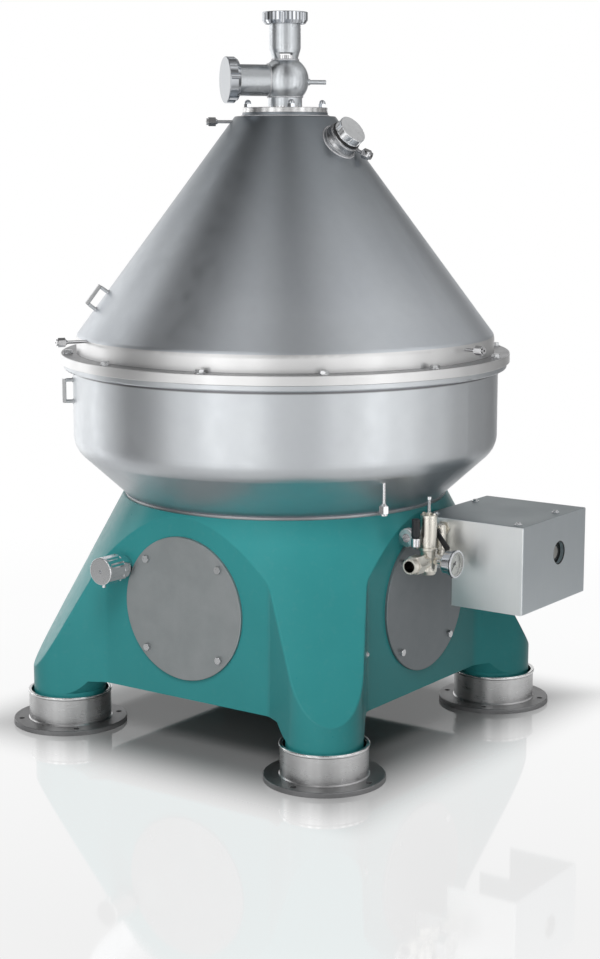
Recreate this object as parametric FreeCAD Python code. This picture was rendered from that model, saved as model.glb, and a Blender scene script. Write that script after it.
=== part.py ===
import FreeCAD, Part
import math
import os

# Centrifugal separator on four feet, in millimetres.
# Origin on the floor, under the bowl axis. +Z is up, -Y is the oil side, +X is the water side.
# Angles around the axis are counted from -Y towards +X. The feet stand on the diagonals.

Vector = FreeCAD.Vector

# Length by which a cutting shape stands out of the piece it cuts
cut_margin = 1.0

# Driving dimensions of the stand
foot_circle_radius = 629.0
foot_height = 98.4
foot_plate_radius = 161.5
foot_plate_thickness = 14.3
foot_plate_edge = 3.0
foot_cup_radius = 117.0
foot_cup_wall = 7.0
foot_rim_height = 7.0
foot_rim_overhang = 3.0
foot_rim_edge = 3.0
foot_seam = 3.0
foot_seam_edge = 1.0
foot_anchor_radius = 11.0
foot_bolt_circle_radius = 140.0
foot_bolt_hole_radius = 8.0
foot_bolt_count = 4
foot_turns = {"front": 45.0, "left": 4.0, "back": 0.0, "right": -27.0}
foot_diagonals = {"front": 45.0, "left": -45.0, "back": -135.0, "right": 135.0}
buffer_height = 57.0
buffer_side_gap = 3.0
buffer_bore_gap = 8.0
buffer_waist = 6.0
buffer_waist_radius = 20.0
buffer_edge = 4.0

# Driving dimensions of the frame housing
panel_distance = 470.0
panel_angles = (0.0, 90.0, 180.0, 270.0)
leg_radius = 102.5
leg_side_taper = 15.0
panel_corner_radius = 40.0
skirt_bottom_height = 144.0
leg_flare_start = 106.0
leg_flare_slope = 0.62
frame_top_height = 655.0
frame_top_radius = 466.0
frame_cone_slope = 0.543
frame_wall = 14.0
frame_top_thickness = 20.0
leg_floor_height = 160.0
leg_floor_overhang = 30.0
frame_bore_radius = 185.0
frame_edge_radius = 7.0

# Driving dimensions of the side covers
cover_drop = 258.0
cover_radius = 198.0
cover_thickness = 8.0
cover_edge = 2.0
cover_opening_radius = 158.0
cover_bolt_circle_radius = 175.0
cover_bolt_count = 4
cover_bolt_first = 45.0
cover_bolt_radius = 6.0
cover_bolt_head = 19.0
cover_bolt_head_height = 8.0
bolt_clearance = 0.4
hex_bevel_share = 0.06
hex_face_inset = 0.2

# Driving dimensions of the bowl casing
casing_ring_radius = 460.0
casing_ring_inner = 400.0
casing_ring_height = 6.0
taper_bottom_radius = 455.7
taper_top_inset = 23.0
taper_height = 114.0
casing_radius = 603.0
casing_knuckle_radius = 72.0
casing_inner_knuckle_radius = 64.0
casing_bore_gap = 2.0
casing_wall = 8.0
casing_floor_thickness = 12.0
casing_flange_width = 24.0
casing_flange_thickness = 15.8
casing_cylinder_height = 257.4
casing_collar_height = 27.0
casing_collar_wall = 12.0

# Driving dimensions of the hood
gasket_thickness = 1.0
gasket_width = 26.0
hood_flange_overhang = 8.0
hood_flange_thickness = 26.8
skirt_inset = 12.0
skirt_height = 74.6
hood_wall = 8.0
cone_top_radius = 140.2
cone_height = 604.0
collar_radius = 119.5
collar_height = 10.0
collar_bore_radius = 92.0
collar_depth = 26.0
flange_bolt_count = 12
flange_bolt_first = 15.0
flange_bolt_offset = 12.0
flange_bolt_radius = 7.0
flange_bolt_head = 22.0
flange_bolt_head_height = 8.0
flange_bolt_turn = 17.0
flange_washer_radius = 14.0
flange_washer_thickness = 2.5

# Driving dimensions of the top plate and the feed head
top_plate_radius = 118.5
top_plate_thickness = 14.0
top_plate_groove = 2.0
plate_bore_gap = 0.3
cap_nut_count = 4
cap_nut_circle_radius = 105.0
cap_nut_width = 19.0
cap_nut_hex_height = 10.0
cap_nut_dome_radius = 9.3
stud_radius = 5.8
stud_depth = 16.0
stud_hole_depth = 17.0
cap_nut_dome_rise = 2.0
pump_flange_thickness = 4.0
neck_radius = 47.5
globe_radius = 66.0
globe_rise = 70.0
globe_wall = 7.0
sleeve_low_radius = 36.3
sleeve_low_length = 61.0
sleeve_radius = 43.6
sleeve_cone_length = 25.0
sleeve_length = 156.0
sleeve_groove_drops = (25.0, 13.0, 7.0)
sleeve_groove_depth = 1.2
sleeve_groove_width = 2.4
sleeve_flat_distance = 27.8
sleeve_flat_width = 60.0
sleeve_flat_angle = 42.0
sleeve_flat_rise = 51.0
sleeve_flat_height = 23.6
head_bore_radius = 33.0
head_bore_low_radius = 24.0
neck_bore_radius = 37.0
thread_radius = 54.8
thread_length = 19.0
thread_edge = 1.5
branch_angle = -37.7
branch_radius = 43.0
branch_length = 144.0
branch_bore_radius = 36.0
stub_angle = 142.3
stub_radius = 6.3
stub_bore_radius = 4.5
stub_reach = 118.0
stub_drop = 4.0
stub_collar_radius = 9.0
stub_collar_reach = 71.0

# Driving dimensions of the blind nuts
blind_nut_radius = 63.5
blind_nut_end = 8.0
blind_nut_height = 32.0
blind_nut_slots = 6
blind_nut_slot_radius = 9.0
blind_nut_slot_offset = 3.15
blind_nut_slot_end = 3.2
blind_nut_lip = 2.5
blind_nut_slope = 9.0
blind_nut_edge = 2.0
nut_seal_inset = 2.0
thread_clearance = 0.3
seal_thickness = 1.8
seal_clearance = 0.1

# Driving dimensions of the inspection port
port_angle = 86.0
port_rise = 533.0
port_base_radius = 52.5
port_base_height = 5.0
port_neck_radius = 47.0
port_neck_height = 33.0
port_bore_radius = 34.0
port_seal_radius = 42.5
port_seal_height = 2.6
port_cap_radius = 42.0
port_cap_height = 23.0
port_cap_slots = 6
port_cap_slot_radius = 4.0
port_spigot_length = 18.0
port_root_depth = 22.0
port_base_edge = 1.5
port_base_step = 3.0
port_neck_flare = 1.0
port_cone_length = 9.0
port_cone_rounding = 3.0
port_groove_low = 10.0
port_groove_high = 8.0
port_groove_depth = 2.0
port_lip_inset = 3.0
port_lip_edge = 2.0
port_seal_inset = 1.0
port_seal_edge = 1.0
port_cap_rim = 1.0
port_cap_rim_height = 3.0
port_cap_rim_edge = 1.0
port_cap_edge = 2.0
port_cap_slot_share = 0.4
port_cap_slot_first = 15.0
port_cap_slot_low = 5.0
port_spigot_wall = 6.0

# Driving dimensions of the small fittings
crown_tube = {"angle": -45.0, "rise": 0.0, "length": 73.0, "nut": 22.0, "drop": 15.0}
left_tube = {"angle": -31.0, "rise": 0.0, "length": 95.0, "nut": 22.0, "drop": 1.0}
right_tube = {"angle": 90.0, "rise": 0.0, "length": 69.0, "nut": 22.0, "drop": 12.0}
port_tube = {"angle": 101.0, "rise": -21.0, "length": 62.0, "nut": 25.0, "drop": 16.0}
cone_tube_depth = 3.0
skirt_tube_depth = 11.0
tube_radius = 4.5
fitting_nut_length = 26.0
fitting_bore_radius = 3.2
fitting_bore_depth = 14.0
fitting_root_depth = 25.0
fitting_ferrule_length = 6.0
fitting_ferrule_rim = 1.0
fitting_ferrule_share = 0.4
fitting_lip_length = 5.0
fitting_lip_share = 0.42
lug_bar_radius = 5.0
lug_bend_radius = 9.0
lug_angle = -45.0
hood_lug_rise = 74.0
hood_lug_length = 47.0
hood_lug_reach = 35.0
casing_lug_drop = 46.4
casing_lug_length = 60.0
casing_lug_reach = 30.0
lug_root_depth = 8.0
drain_angle = 63.0
drain_inset = 17.0
drain_nut_width = 24.0
drain_bottom_rise = 15.0
outlet_drop = 132.4
outlet_bore_radius = 57.0
outlet_wall = 6.0
outlet_length = 89.0
outlet_flange_radius = 102.0
outlet_flange_thickness = 16.0
outlet_bolt_circle_radius = 85.0
outlet_bolt_hole_radius = 8.0
outlet_bolt_count = 8
outlet_bolt_first = 22.5
outlet_root_depth = 20.0
outlet_edge = 1.5

# Driving dimensions of the drive
spindle_radius = 45.0
spindle_low_radius = 35.0
spindle_high_radius = 50.0
spindle_bottom_drop = 447.0
spindle_taper_length = 110.0
spindle_tip_radius = 38.0
spindle_step = 12.0
spindle_edge = 2.0
spindle_seat_overrun = 2.0
spindle_collar_half = 6.0
spindle_stud_step = 8.0
spindle_tip_drop = 4.0
motor_radius = 200.0
motor_wall = 12.0
motor_bottom_drop = 465.0
motor_floor_thickness = 14.0
motor_flange_radius = 230.0
motor_flange_thickness = 16.0
motor_fin_count = 24
motor_fin_depth = 14.0
motor_fin_width = 6.0
motor_fin_root = 2.0
motor_fin_low = 20.0
motor_fin_high = 20.0
motor_bottom_rounding = 8.0
motor_flange_edge = 2.0
motor_seat_wall = 15.0
motor_floor_gap = 5.0
rotor_overhang = 5.0
air_gap = 1.5
stator_bore_radius = 120.0
stator_low_drop = 355.0
stator_high_drop = 155.0
housing_radius = 150.0
housing_low_drop = 49.0
housing_flange_thickness = 15.0
housing_rise = 53.0
housing_neck_gap = 12.0
housing_seat_step = 8.0
housing_edge = 4.0
fit_clearance = 0.05
high_bearing = {"inner": 50.0, "outer": 90.0, "drop": 5.0, "width": 40.0, "ball": 12.5, "count": 14}
low_bearing = {"inner": 35.0, "outer": 60.0, "drop": 439.0, "width": 32.0, "ball": 8.5, "count": 13}
race_clearance = 0.3
cage_wall = 6.0
race_depth_share = 0.55
cage_height_share = 0.72

# Driving dimensions of the bowl
bowl_radius = 470.0
bowl_wall = 32.0
bowl_seat_rise = 115.0
bowl_bottom_drop = 5.0
bowl_shoulder_rise = 135.0
bowl_rim_rise = 315.0
hub_radius = 110.0
hub_top_rise = 135.0
piston_bottom_rise = 78.0
piston_thickness = 24.0
piston_rim_width = 15.0
piston_travel = 8.0
piston_gap = 0.6
piston_rest_gap = 0.4
sediment_port_count = 12
sediment_port_width = 70.0
sediment_port_height = 16.0
bowl_top_low_rise = 265.0
bowl_top_seat_rise = 290.0
bowl_chamber_radius = 115.0
bowl_chamber_bore = 95.0
bowl_chamber_rise = 670.0
bowl_chamber_depth = 54.0
bowl_chamber_wall = 14.0
bowl_mouth_radius = 48.0
lock_ring_width = 31.5
lock_ring_height = 35.0
lock_ring_gap = 0.2
lock_ring_edge = 2.0
lock_ring_notches = 8
lock_ring_notch_radius = 9.0
lock_ring_notch_depth = 12.0
chamber_cover_gap = 0.1
chamber_cover_depth = 11.0
chamber_cover_height = 9.0
chamber_cover_inset = 3.0
distributor_tube_radius = 56.0
distributor_tube_wall = 14.0
distributor_top_rise = 575.0
distributor_skirt_radius = 340.0
distributor_skirt_low_rise = 187.0
distributor_skirt_high_rise = 420.0
distributor_skirt_wall = 7.0
distributor_weld_depth = 2.0
disc_count = 10
disc_pitch = 16.0
disc_inner_radius = 70.0
disc_outer_radius = 330.0
disc_thickness = 2.4
disc_first_gap = 10.0
pump_disc_radius = 85.0
pump_disc_gap = 15.0
pump_disc_thickness = 15.0
pump_tube_radius = 37.0
pump_tube_bore = 32.0
feed_tube_radius = 22.0
feed_tube_bore = 18.5
feed_tube_rise = 380.0
feed_flange_rise = 58.0
feed_flange_thickness = 10.0

# Driving dimensions of the oil filler
filler_x = -207.0
filler_drop = 164.0
filler_flange_radius = 28.0
filler_flange_thickness = 16.0
filler_thread_radius = 24.0
filler_thread_length = 30.0
filler_cap_radius = 38.0
filler_cap_length = 86.0
filler_grips = 12
filler_flange_edge = 2.0
filler_thread_edge = 1.5
filler_seal_gap = 0.5
filler_pocket_gap = 4.0
filler_rim_inset = 3.0
filler_rim_low = 8.0
filler_rim_high = 12.0
filler_grip_radius = 12.0
filler_grip_offset = 10.5
filler_grip_low = 24.0
filler_grip_end = 10.0
filler_vent_radius = 5.0
filler_vent_depth = 10.0
filler_nub_radius = 5.0
filler_nub_root = 6.0
filler_nub_reach = 8.0
filler_nub_drop = 14.0

# Driving dimensions of the control box
box_near_x = 480.0
box_far_x = 797.0
box_low_y = -36.0
box_high_y = 323.0
box_drop = 14.0
box_height = 239.0
box_sheet = 2.5
box_notch_x = 581.0
box_notch_height = 98.0
box_hole_y = 169.0
box_hole_rise = 137.3
box_hole_radius = 32.5
box_screw_points = ((505.0, 2.0), (766.0, -8.0), (764.0, 205.0), (500.0, 225.0))
box_screw_width = 13.0
box_screw_height = 6.0
box_screw_radius = 4.0
box_bend_radius = 3.0
bracket_low_y = -24.0
bracket_high_y = 238.0
bracket_sheet = 4.0
bracket_arm_depth = 26.0
bracket_arm_ys = (68.0, 144.0)
bracket_foot_drop = 55.0
bracket_far_gap = 20.0
bracket_near_gap = 6.0
bracket_window_near = 48.0
bracket_window_far = 42.0
bracket_window_side = 35.0
bracket_socket_side = 10.0
bracket_socket_low = 12.0
box_screw_reach = 6.0
socket_radius = 23.0
socket_depth = 14.0
socket_length = 34.0
socket_edge = 2.0
socket_lip = 5.0
socket_pin_inset = 7.0
socket_pin_depth = 4.0

# Driving dimensions of the water supply
regulator_x = 555.0
regulator_y = -116.0
regulator_radius = 25.0
regulator_drop = 142.0
regulator_length = 76.0
bonnet_radius = 21.6
bonnet_length = 80.0
bonnet_cap_height = 8.0
adjusting_radius = 4.0
adjusting_reach = 57.0
adjusting_head_radius = 6.5
line_rise = 38.0
inlet_end_y = -213.0
inlet_radius = 21.0
inlet_bore_radius = 15.5
inlet_hex = 46.0
gauge_rise = 39.0
gauge_radius = 38.0
gauge_near_x = 606.0
gauge_far_x = 644.0
gauge_glass_radius = 32.5
needle_length = 24.0
riser_y = -58.0
riser_radius = 17.0
riser_length = 81.0
lever_drop = 7.0
lever_x = 560.0
lever_reach = 60.0
lever_slope = -50.5
lever_stem_radius = 3.5
stop_line_x = 501.5
stop_line_drop = 44.0
line_radius = 11.0
line_nut_radius = 16.0
line_nut_length = 6.0
coupling_radius = 25.0
coupling_length = 32.0
coupling_end_y = -144.0
coupling_bore_radius = 12.0
coupling_bore_depth = 24.0
knob_x = 535.0
knob_y = -149.4
knob_radius = 12.2
knob_rise = 5.0
knob_length = 52.0
knob_gap = 0.4
knob_ribs = 10
chest_length = 29.0
chest_pipe_radius = 7.0
chest_pipe_drop = 9.0
valve_spindle_radius = 4.0
hinge_clearance = 0.05

# Heights of the side covers and the oil filler, hung below the frame's top
cover_height = frame_top_height - cover_drop
filler_z = frame_top_height - filler_drop

# Heights of the casing, hood and head, stacked on the frame
casing_floor_height = frame_top_height + casing_ring_height
taper_top_height = casing_floor_height + taper_height
casing_flange_height = taper_top_height + casing_cylinder_height
drain_bottom_height = casing_floor_height + drain_bottom_rise
outlet_height = casing_flange_height - outlet_drop
casing_lug_top = casing_flange_height - casing_lug_drop
casing_lug_bottom = casing_lug_top - casing_lug_length
hood_bottom_height = casing_flange_height + gasket_thickness
hood_flange_top = hood_bottom_height + hood_flange_thickness
skirt_top_height = hood_bottom_height + skirt_height
hood_lug_bottom = skirt_top_height + hood_lug_rise
hood_lug_top = hood_lug_bottom + hood_lug_length
port_height = skirt_top_height + port_rise
cone_top_height = skirt_top_height + cone_height
collar_top_height = cone_top_height + collar_height
top_plate_top = collar_top_height + top_plate_thickness
head_bottom_height = top_plate_top + pump_flange_thickness
globe_height = head_bottom_height + globe_rise
stub_height = globe_height - stub_drop
sleeve_low_top = globe_height + sleeve_low_length
sleeve_cone_top = sleeve_low_top + sleeve_cone_length
sleeve_top_height = globe_height + sleeve_length
sleeve_flat_low = globe_height + sleeve_flat_rise
feed_flange_low = globe_height + feed_flange_rise

# Radii of the casing and hood, counted from the casing's cylinder
taper_top_radius = casing_radius - taper_top_inset
casing_flange_radius = casing_radius + casing_flange_width
hood_flange_radius = casing_flange_radius + hood_flange_overhang
flange_bolt_circle_radius = casing_radius + flange_bolt_offset
skirt_radius = casing_radius - skirt_inset
drain_circle_radius = taper_top_radius - drain_inset
outlet_reach = casing_radius + outlet_length

# Heights of the control box and the water supply, hung on the frame's top
box_high_z = frame_top_height - box_drop
box_low_z = box_high_z - box_height
box_notch_z = box_low_z + box_notch_height
box_hole_z = box_low_z + box_hole_rise
bracket_foot_low = box_high_z - bracket_foot_drop
regulator_low = box_high_z - regulator_drop
regulator_high = regulator_low + regulator_length
bonnet_high = regulator_high + bonnet_length
adjusting_top = bonnet_high + adjusting_reach
line_height = regulator_low + line_rise
gauge_height = regulator_low + gauge_rise
riser_high = line_height + riser_length
lever_height = riser_high - lever_drop
stop_line_height = box_high_z - stop_line_drop
knob_low = stop_line_height + knob_rise
knob_high = knob_low + knob_length
chest_low = knob_low - chest_length

# Heights of the drive, hung on the frame's top
spindle_bottom_height = frame_top_height - spindle_bottom_drop
motor_bottom_height = frame_top_height - motor_bottom_drop
stator_low = frame_top_height - stator_low_drop
stator_high = frame_top_height - stator_high_drop
housing_low = frame_top_height - housing_low_drop
housing_high = frame_top_height + housing_rise
high_bearing["low"] = frame_top_height - high_bearing["drop"]
low_bearing["low"] = frame_top_height - low_bearing["drop"]

# Heights of the bowl, counted from its seat on the spindle
bowl_seat = frame_top_height + bowl_seat_rise
spindle_taper_top = bowl_seat + spindle_taper_length
bowl_bottom_height = bowl_seat - bowl_bottom_drop
bowl_shoulder_height = bowl_seat + bowl_shoulder_rise
bowl_rim_height = bowl_seat + bowl_rim_rise
hub_top_height = bowl_seat + hub_top_rise
piston_bottom_height = bowl_seat + piston_bottom_rise
bowl_top_low = bowl_seat + bowl_top_low_rise
bowl_top_seat = bowl_seat + bowl_top_seat_rise
bowl_chamber_floor = bowl_seat + bowl_chamber_rise
bowl_chamber_top = bowl_chamber_floor + bowl_chamber_depth
distributor_top = bowl_seat + distributor_top_rise
distributor_skirt_low = bowl_seat + distributor_skirt_low_rise
distributor_skirt_high = bowl_seat + distributor_skirt_high_rise
pump_disc_low = bowl_chamber_floor + pump_disc_gap
feed_tube_low = bowl_seat + feed_tube_rise

# Other sizes worked out from the driving dimensions
taper_slope = (taper_top_radius - taper_bottom_radius) / taper_height
cone_slope = (skirt_radius - cone_top_radius) / cone_height
cone_rise = math.degrees(math.atan(cone_slope))
housing_flange_high = frame_top_height - frame_top_thickness
housing_flange_low = housing_flange_high - housing_flange_thickness
cover_face_distance = panel_distance + cover_thickness


def heading(angle, rise=0.0):
    """Unit vector for an angle counted from -Y towards +X, raised by rise degrees."""
    turn = math.radians(angle)
    lift = math.radians(rise)
    return Vector(math.sin(turn) * math.cos(lift), -math.cos(turn) * math.cos(lift), math.sin(lift))


def around(angle, radius, height):
    """Point at a radius and height on the ray with the given angle."""
    return heading(angle) * radius + Vector(0, 0, height)


def corner_arc(before, corner, after, radius):
    """Tangent arc that rounds a corner, with its first and last point."""
    back = (before - corner).normalize()
    ahead = (after - corner).normalize()
    half = back.getAngle(ahead) / 2.0
    inward = (back + ahead).normalize()
    start = corner + back * (radius / math.tan(half))
    end = corner + ahead * (radius / math.tan(half))
    middle = corner + inward * (radius / math.sin(half) - radius)
    return start, Part.Arc(start, middle, end).toShape(), end


def outline(corners, upright, closed=True):
    """Wire through (a, b) corners; a third number rounds that corner. Upright wires lie in XZ."""
    points = [Vector(c[0], 0, c[1]) if upright else Vector(c[0], c[1], 0) for c in corners]
    edges = []
    first = None
    last = None
    count = len(corners)
    for index, corner in enumerate(corners):
        inner = closed or 0 < index < count - 1
        if inner and len(corner) > 2:
            following = points[(index + 1) % count]
            start, arc, end = corner_arc(points[index - 1], points[index], following, corner[2])
        else:
            start, arc, end = points[index], None, points[index]
        if last is not None and last.distanceToPoint(start) > 1e-6:
            edges.append(Part.makeLine(last, start))
        if arc is not None:
            edges.append(arc)
        first = first or start
        last = end
    if closed and last.distanceToPoint(first) > 1e-6:
        edges.append(Part.makeLine(last, first))
    return Part.Wire(edges)


def turned(corners):
    """Solid of revolution about Z from (radius, height) corners."""
    face = Part.Face(outline(corners, True))
    return face.revolve(Vector(0, 0, 0), Vector(0, 0, 1), 360)


def cylinder(radius, low, high):
    return Part.makeCylinder(radius, high - low, Vector(0, 0, low))


def drill(radius, low, high):
    """Cylinder that cuts a hole and stands out a little at both ends."""
    return cylinder(radius, low - cut_margin, high + cut_margin)


def ring(outer, inner, low, high):
    return turned([(inner, low), (outer, low), (outer, high), (inner, high)])


def hexagon(width, low, high):
    """Hexagonal prism with the given width across flats and chamfered corners."""
    corner = width / math.sqrt(3.0)
    points = [point + Vector(0, 0, low) for point in circle_points(6, corner)]
    prism = Part.Face(Part.makePolygon(points + points[:1])).extrude(Vector(0, 0, high - low))
    bevel = hex_bevel_share * width
    face = width / 2 - hex_face_inset
    keeper = turned([(0, low), (corner, low), (corner, high - bevel), (face, high), (0, high)])
    return prism.common(keeper)


def placed(shape, origin, direction, spin=0.0):
    """Copy of a shape built along +Z, moved to an origin and turned along a direction."""
    moved = shape.copy()
    turn = FreeCAD.Rotation(Vector(0, 0, 1), direction) * FreeCAD.Rotation(Vector(0, 0, 1), spin)
    moved.Placement = FreeCAD.Placement(origin, turn).multiply(shape.Placement)
    return moved


def joined(shapes):
    """One solid fused from touching solids."""
    result = shapes[0]
    for shape in shapes[1:]:
        result = result.fuse(shape)
    return result.removeSplitter()


def circle_points(count, radius, first=0.0):
    """Points on a circle in the XY plane."""
    turns = [math.radians(first + 360.0 * k / count) for k in range(count)]
    return [Vector(radius * math.cos(t), radius * math.sin(t), 0) for t in turns]


def bar(corners, radius, start):
    """Round bar along an open wire of (a, b) corners in the XZ plane."""
    path = outline(corners, True, closed=False)
    tangent = path.Edges[0].tangentAt(path.Edges[0].FirstParameter)
    section = Part.Wire(Part.makeCircle(radius, start, tangent))
    return path.makePipeShell([section], True, False)


def foot_base(name):
    """Flat foot plate with a central anchor hole and a circle of bolt holes, and the cup welded on it."""
    plate = turned([
        (0, 0), (foot_plate_radius, 0), (foot_plate_radius, foot_plate_thickness, foot_plate_edge),
        (0, foot_plate_thickness)])
    plate = plate.cut(drill(foot_anchor_radius, 0, foot_plate_thickness))
    outward = foot_diagonals[name] - 90.0
    for point in circle_points(foot_bolt_count, foot_bolt_circle_radius, outward + foot_turns[name]):
        hole = drill(foot_bolt_hole_radius, 0, foot_plate_thickness)
        plate = plate.cut(hole.translated(point))
    inner = foot_cup_radius - foot_cup_wall
    seam = foot_cup_radius + foot_seam
    seam_top = foot_plate_thickness + foot_seam_edge
    rim = foot_cup_radius + foot_rim_overhang
    rim_low = foot_height - foot_rim_height
    cup = turned([
        (inner, foot_plate_thickness), (seam, foot_plate_thickness), (seam, seam_top),
        (foot_cup_radius, seam_top + foot_seam), (foot_cup_radius, rim_low - foot_rim_overhang),
        (rim, rim_low), (rim, foot_height, foot_rim_edge), (inner, foot_height, foot_rim_edge)])
    whole = Part.makeCompound([plate, cup])
    return whole.translated(around(foot_diagonals[name], foot_circle_radius, 0))


def foot_buffers():
    """Rubber buffers inside the cups, one under each leg."""
    radius = foot_cup_radius - foot_cup_wall - buffer_side_gap
    bore = foot_anchor_radius + buffer_bore_gap
    top = foot_plate_thickness + buffer_height
    middle = (foot_plate_thickness + top) / 2
    buffer = turned([
        (bore, foot_plate_thickness), (radius, foot_plate_thickness, buffer_edge),
        (radius - buffer_waist, middle, buffer_waist_radius), (radius, top, buffer_edge), (bore, top)])
    return Part.makeCompound([
        buffer.translated(around(angle, foot_circle_radius, 0)) for angle in foot_diagonals.values()])


def frame_plan(inset, height):
    """Plan face of the frame: four flat panels and four tapered legs with rounded noses."""
    reach = panel_distance - inset
    nose = leg_radius - inset
    apex = (foot_circle_radius + nose / math.sin(math.radians(leg_side_taper))) / math.sqrt(2.0)
    side = math.radians(45.0 + leg_side_taper)
    corner_y = apex - (apex - reach) * math.tan(side)
    corners = []
    for quarter in range(4):
        turn = FreeCAD.Rotation(Vector(0, 0, 1), 90.0 * quarter)
        for x, y, radius in (
                (reach, corner_y, panel_corner_radius + inset), (apex, apex, nose),
                (corner_y, reach, panel_corner_radius + inset)):
            point = turn.multVec(Vector(x, y, 0))
            corners.append((point.x, point.y, radius))
    face = Part.Face(outline(corners, False))
    return face.translated(Vector(0, 0, height))


def frame_envelope(inset, low, high):
    """Cone that slopes from the casing down to the feet, moved inward by inset."""
    slant = inset * math.sqrt(1.0 + frame_cone_slope ** 2)
    low_radius = frame_top_radius + (frame_top_height - low) * frame_cone_slope - slant
    high_radius = frame_top_radius + (frame_top_height - high) * frame_cone_slope - slant
    return turned([(0, low), (low_radius, low), (high_radius, high), (0, high)])


def leg_column():
    """Lower end of a leg: a round column that flares into the leg's plan."""
    flare_top = leg_radius + (skirt_bottom_height - leg_flare_start) * leg_flare_slope
    low = foot_plate_thickness + buffer_height
    return turned([
        (0, low), (leg_radius, low), (leg_radius, leg_flare_start),
        (flare_top, skirt_bottom_height), (0, skirt_bottom_height)])


def soften_shield_edges(body):
    """Round the edges where the sloping shield meets the panels and the legs."""
    chosen = []
    for edge in body.Edges:
        box = edge.BoundBox
        middle = edge.valueAt((edge.FirstParameter + edge.LastParameter) / 2)
        cone_radius = frame_top_radius + (frame_top_height - middle.z) * frame_cone_slope
        on_cone = abs(math.hypot(middle.x, middle.y) - cone_radius) < 0.5
        if on_cone and box.ZLength > 20 and box.ZMax < frame_top_height - 1:
            chosen.append(edge)
    return body.makeFillet(frame_edge_radius, chosen)


def frame_housing():
    """Cast housing: flat panels with round openings, four legs and a sloping round shield."""
    low = foot_plate_thickness + buffer_height
    plan_prism = frame_plan(0, low).extrude(Vector(0, 0, frame_top_height - low))
    body = plan_prism.common(frame_envelope(0, skirt_bottom_height, frame_top_height))
    body = soften_shield_edges(body)
    for angle in foot_diagonals.values():
        column = leg_column().translated(around(angle, foot_circle_radius, 0))
        body = body.fuse(column.common(plan_prism))
    cavity_top = frame_top_height - frame_top_thickness
    cavity_low = skirt_bottom_height - cut_margin
    cavity = frame_plan(frame_wall, cavity_low).extrude(Vector(0, 0, cavity_top - cavity_low))
    cavity = cavity.common(frame_envelope(frame_wall, cavity_low, cavity_top))
    for angle in foot_diagonals.values():
        plug = cylinder(leg_radius + leg_floor_overhang, 0, leg_floor_height)
        cavity = cavity.cut(plug.translated(around(angle, foot_circle_radius, 0)))
    body = body.cut(cavity)
    body = body.cut(drill(frame_bore_radius, cavity_top, frame_top_height))
    opening = drill(cover_opening_radius, panel_distance - frame_wall, panel_distance)
    hole = drill(cover_bolt_radius + bolt_clearance, panel_distance - frame_wall, panel_distance)
    for angle in panel_angles:
        body = body.cut(placed(opening, Vector(0, 0, cover_height), heading(angle)))
        for point in cover_bolt_points():
            body = body.cut(placed(hole.translated(point), Vector(0, 0, cover_height), heading(angle)))
    return body.removeSplitter()


def cover_bolt_points():
    return circle_points(cover_bolt_count, cover_bolt_circle_radius, cover_bolt_first)


def side_covers():
    """Round cover plates over the four panel openings."""
    cover = turned([
        (0, panel_distance), (cover_radius, panel_distance), (cover_radius, cover_face_distance, cover_edge),
        (0, cover_face_distance)])
    hole = drill(cover_bolt_radius + bolt_clearance, panel_distance, cover_face_distance)
    for point in cover_bolt_points():
        cover = cover.cut(hole.translated(point))
    return Part.makeCompound([
        placed(cover, Vector(0, 0, cover_height), heading(angle)) for angle in panel_angles])


def side_cover_bolts():
    """Hexagon bolts of the side covers."""
    shank = cylinder(cover_bolt_radius, panel_distance - frame_wall, cover_face_distance)
    head = hexagon(cover_bolt_head, cover_face_distance, cover_face_distance + cover_bolt_head_height)
    bolt = joined([shank, head])
    return Part.makeCompound([
        placed(bolt.translated(point), Vector(0, 0, cover_height), heading(angle))
        for angle in panel_angles
        for point in cover_bolt_points()])


def casing_outer_solid():
    """Outer form of the casing wall, also used to seat pieces on it."""
    return turned([
        (0, casing_floor_height), (taper_bottom_radius, casing_floor_height),
        (taper_top_radius, taper_top_height),
        (casing_radius, taper_top_height + taper_top_inset, casing_knuckle_radius),
        (casing_radius, casing_flange_height), (0, casing_flange_height)])


def bowl_casing():
    """Casing under the flange: cylinder, knuckle and taper, with a floor, base ring and flange."""
    slant = casing_wall * math.sqrt(1.0 + taper_slope ** 2)
    floor_top = casing_floor_height + casing_floor_thickness
    inner_radius = casing_radius - casing_wall
    inner_corner = casing_floor_height + (inner_radius - taper_bottom_radius + slant) / taper_slope
    inner_low = taper_bottom_radius + taper_slope * casing_floor_thickness - slant
    bore = housing_radius + casing_bore_gap
    hollow = turned([
        (0, floor_top), (inner_low, floor_top), (inner_radius, inner_corner, casing_inner_knuckle_radius),
        (inner_radius, casing_flange_height + cut_margin), (0, casing_flange_height + cut_margin)])
    flange_low = casing_flange_height - casing_flange_thickness
    flange = turned([
        (inner_radius + 2, flange_low), (casing_flange_radius, flange_low, 6),
        (casing_flange_radius, casing_flange_height), (inner_radius + 2, casing_flange_height)])
    base = ring(casing_ring_radius, casing_ring_inner, frame_top_height, casing_floor_height + 0.5)
    collar = ring(bore + casing_collar_wall, bore, floor_top - 1, floor_top + casing_collar_height)
    body = casing_outer_solid().fuse(flange).fuse(base).cut(hollow)
    body = body.cut(drill(bore, casing_floor_height, floor_top)).fuse(collar)
    body = body.cut(flange_holes(flange_low, casing_flange_height))
    outlet = drill(outlet_bore_radius, inner_radius - outlet_bore_radius, casing_radius)
    body = body.cut(placed(outlet, Vector(0, 0, outlet_height), heading(180.0)))
    return body.removeSplitter()


def flange_points():
    turns = [flange_bolt_first + 360.0 * k / flange_bolt_count for k in range(flange_bolt_count)]
    return [around(turn, flange_bolt_circle_radius, 0) for turn in turns]


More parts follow.
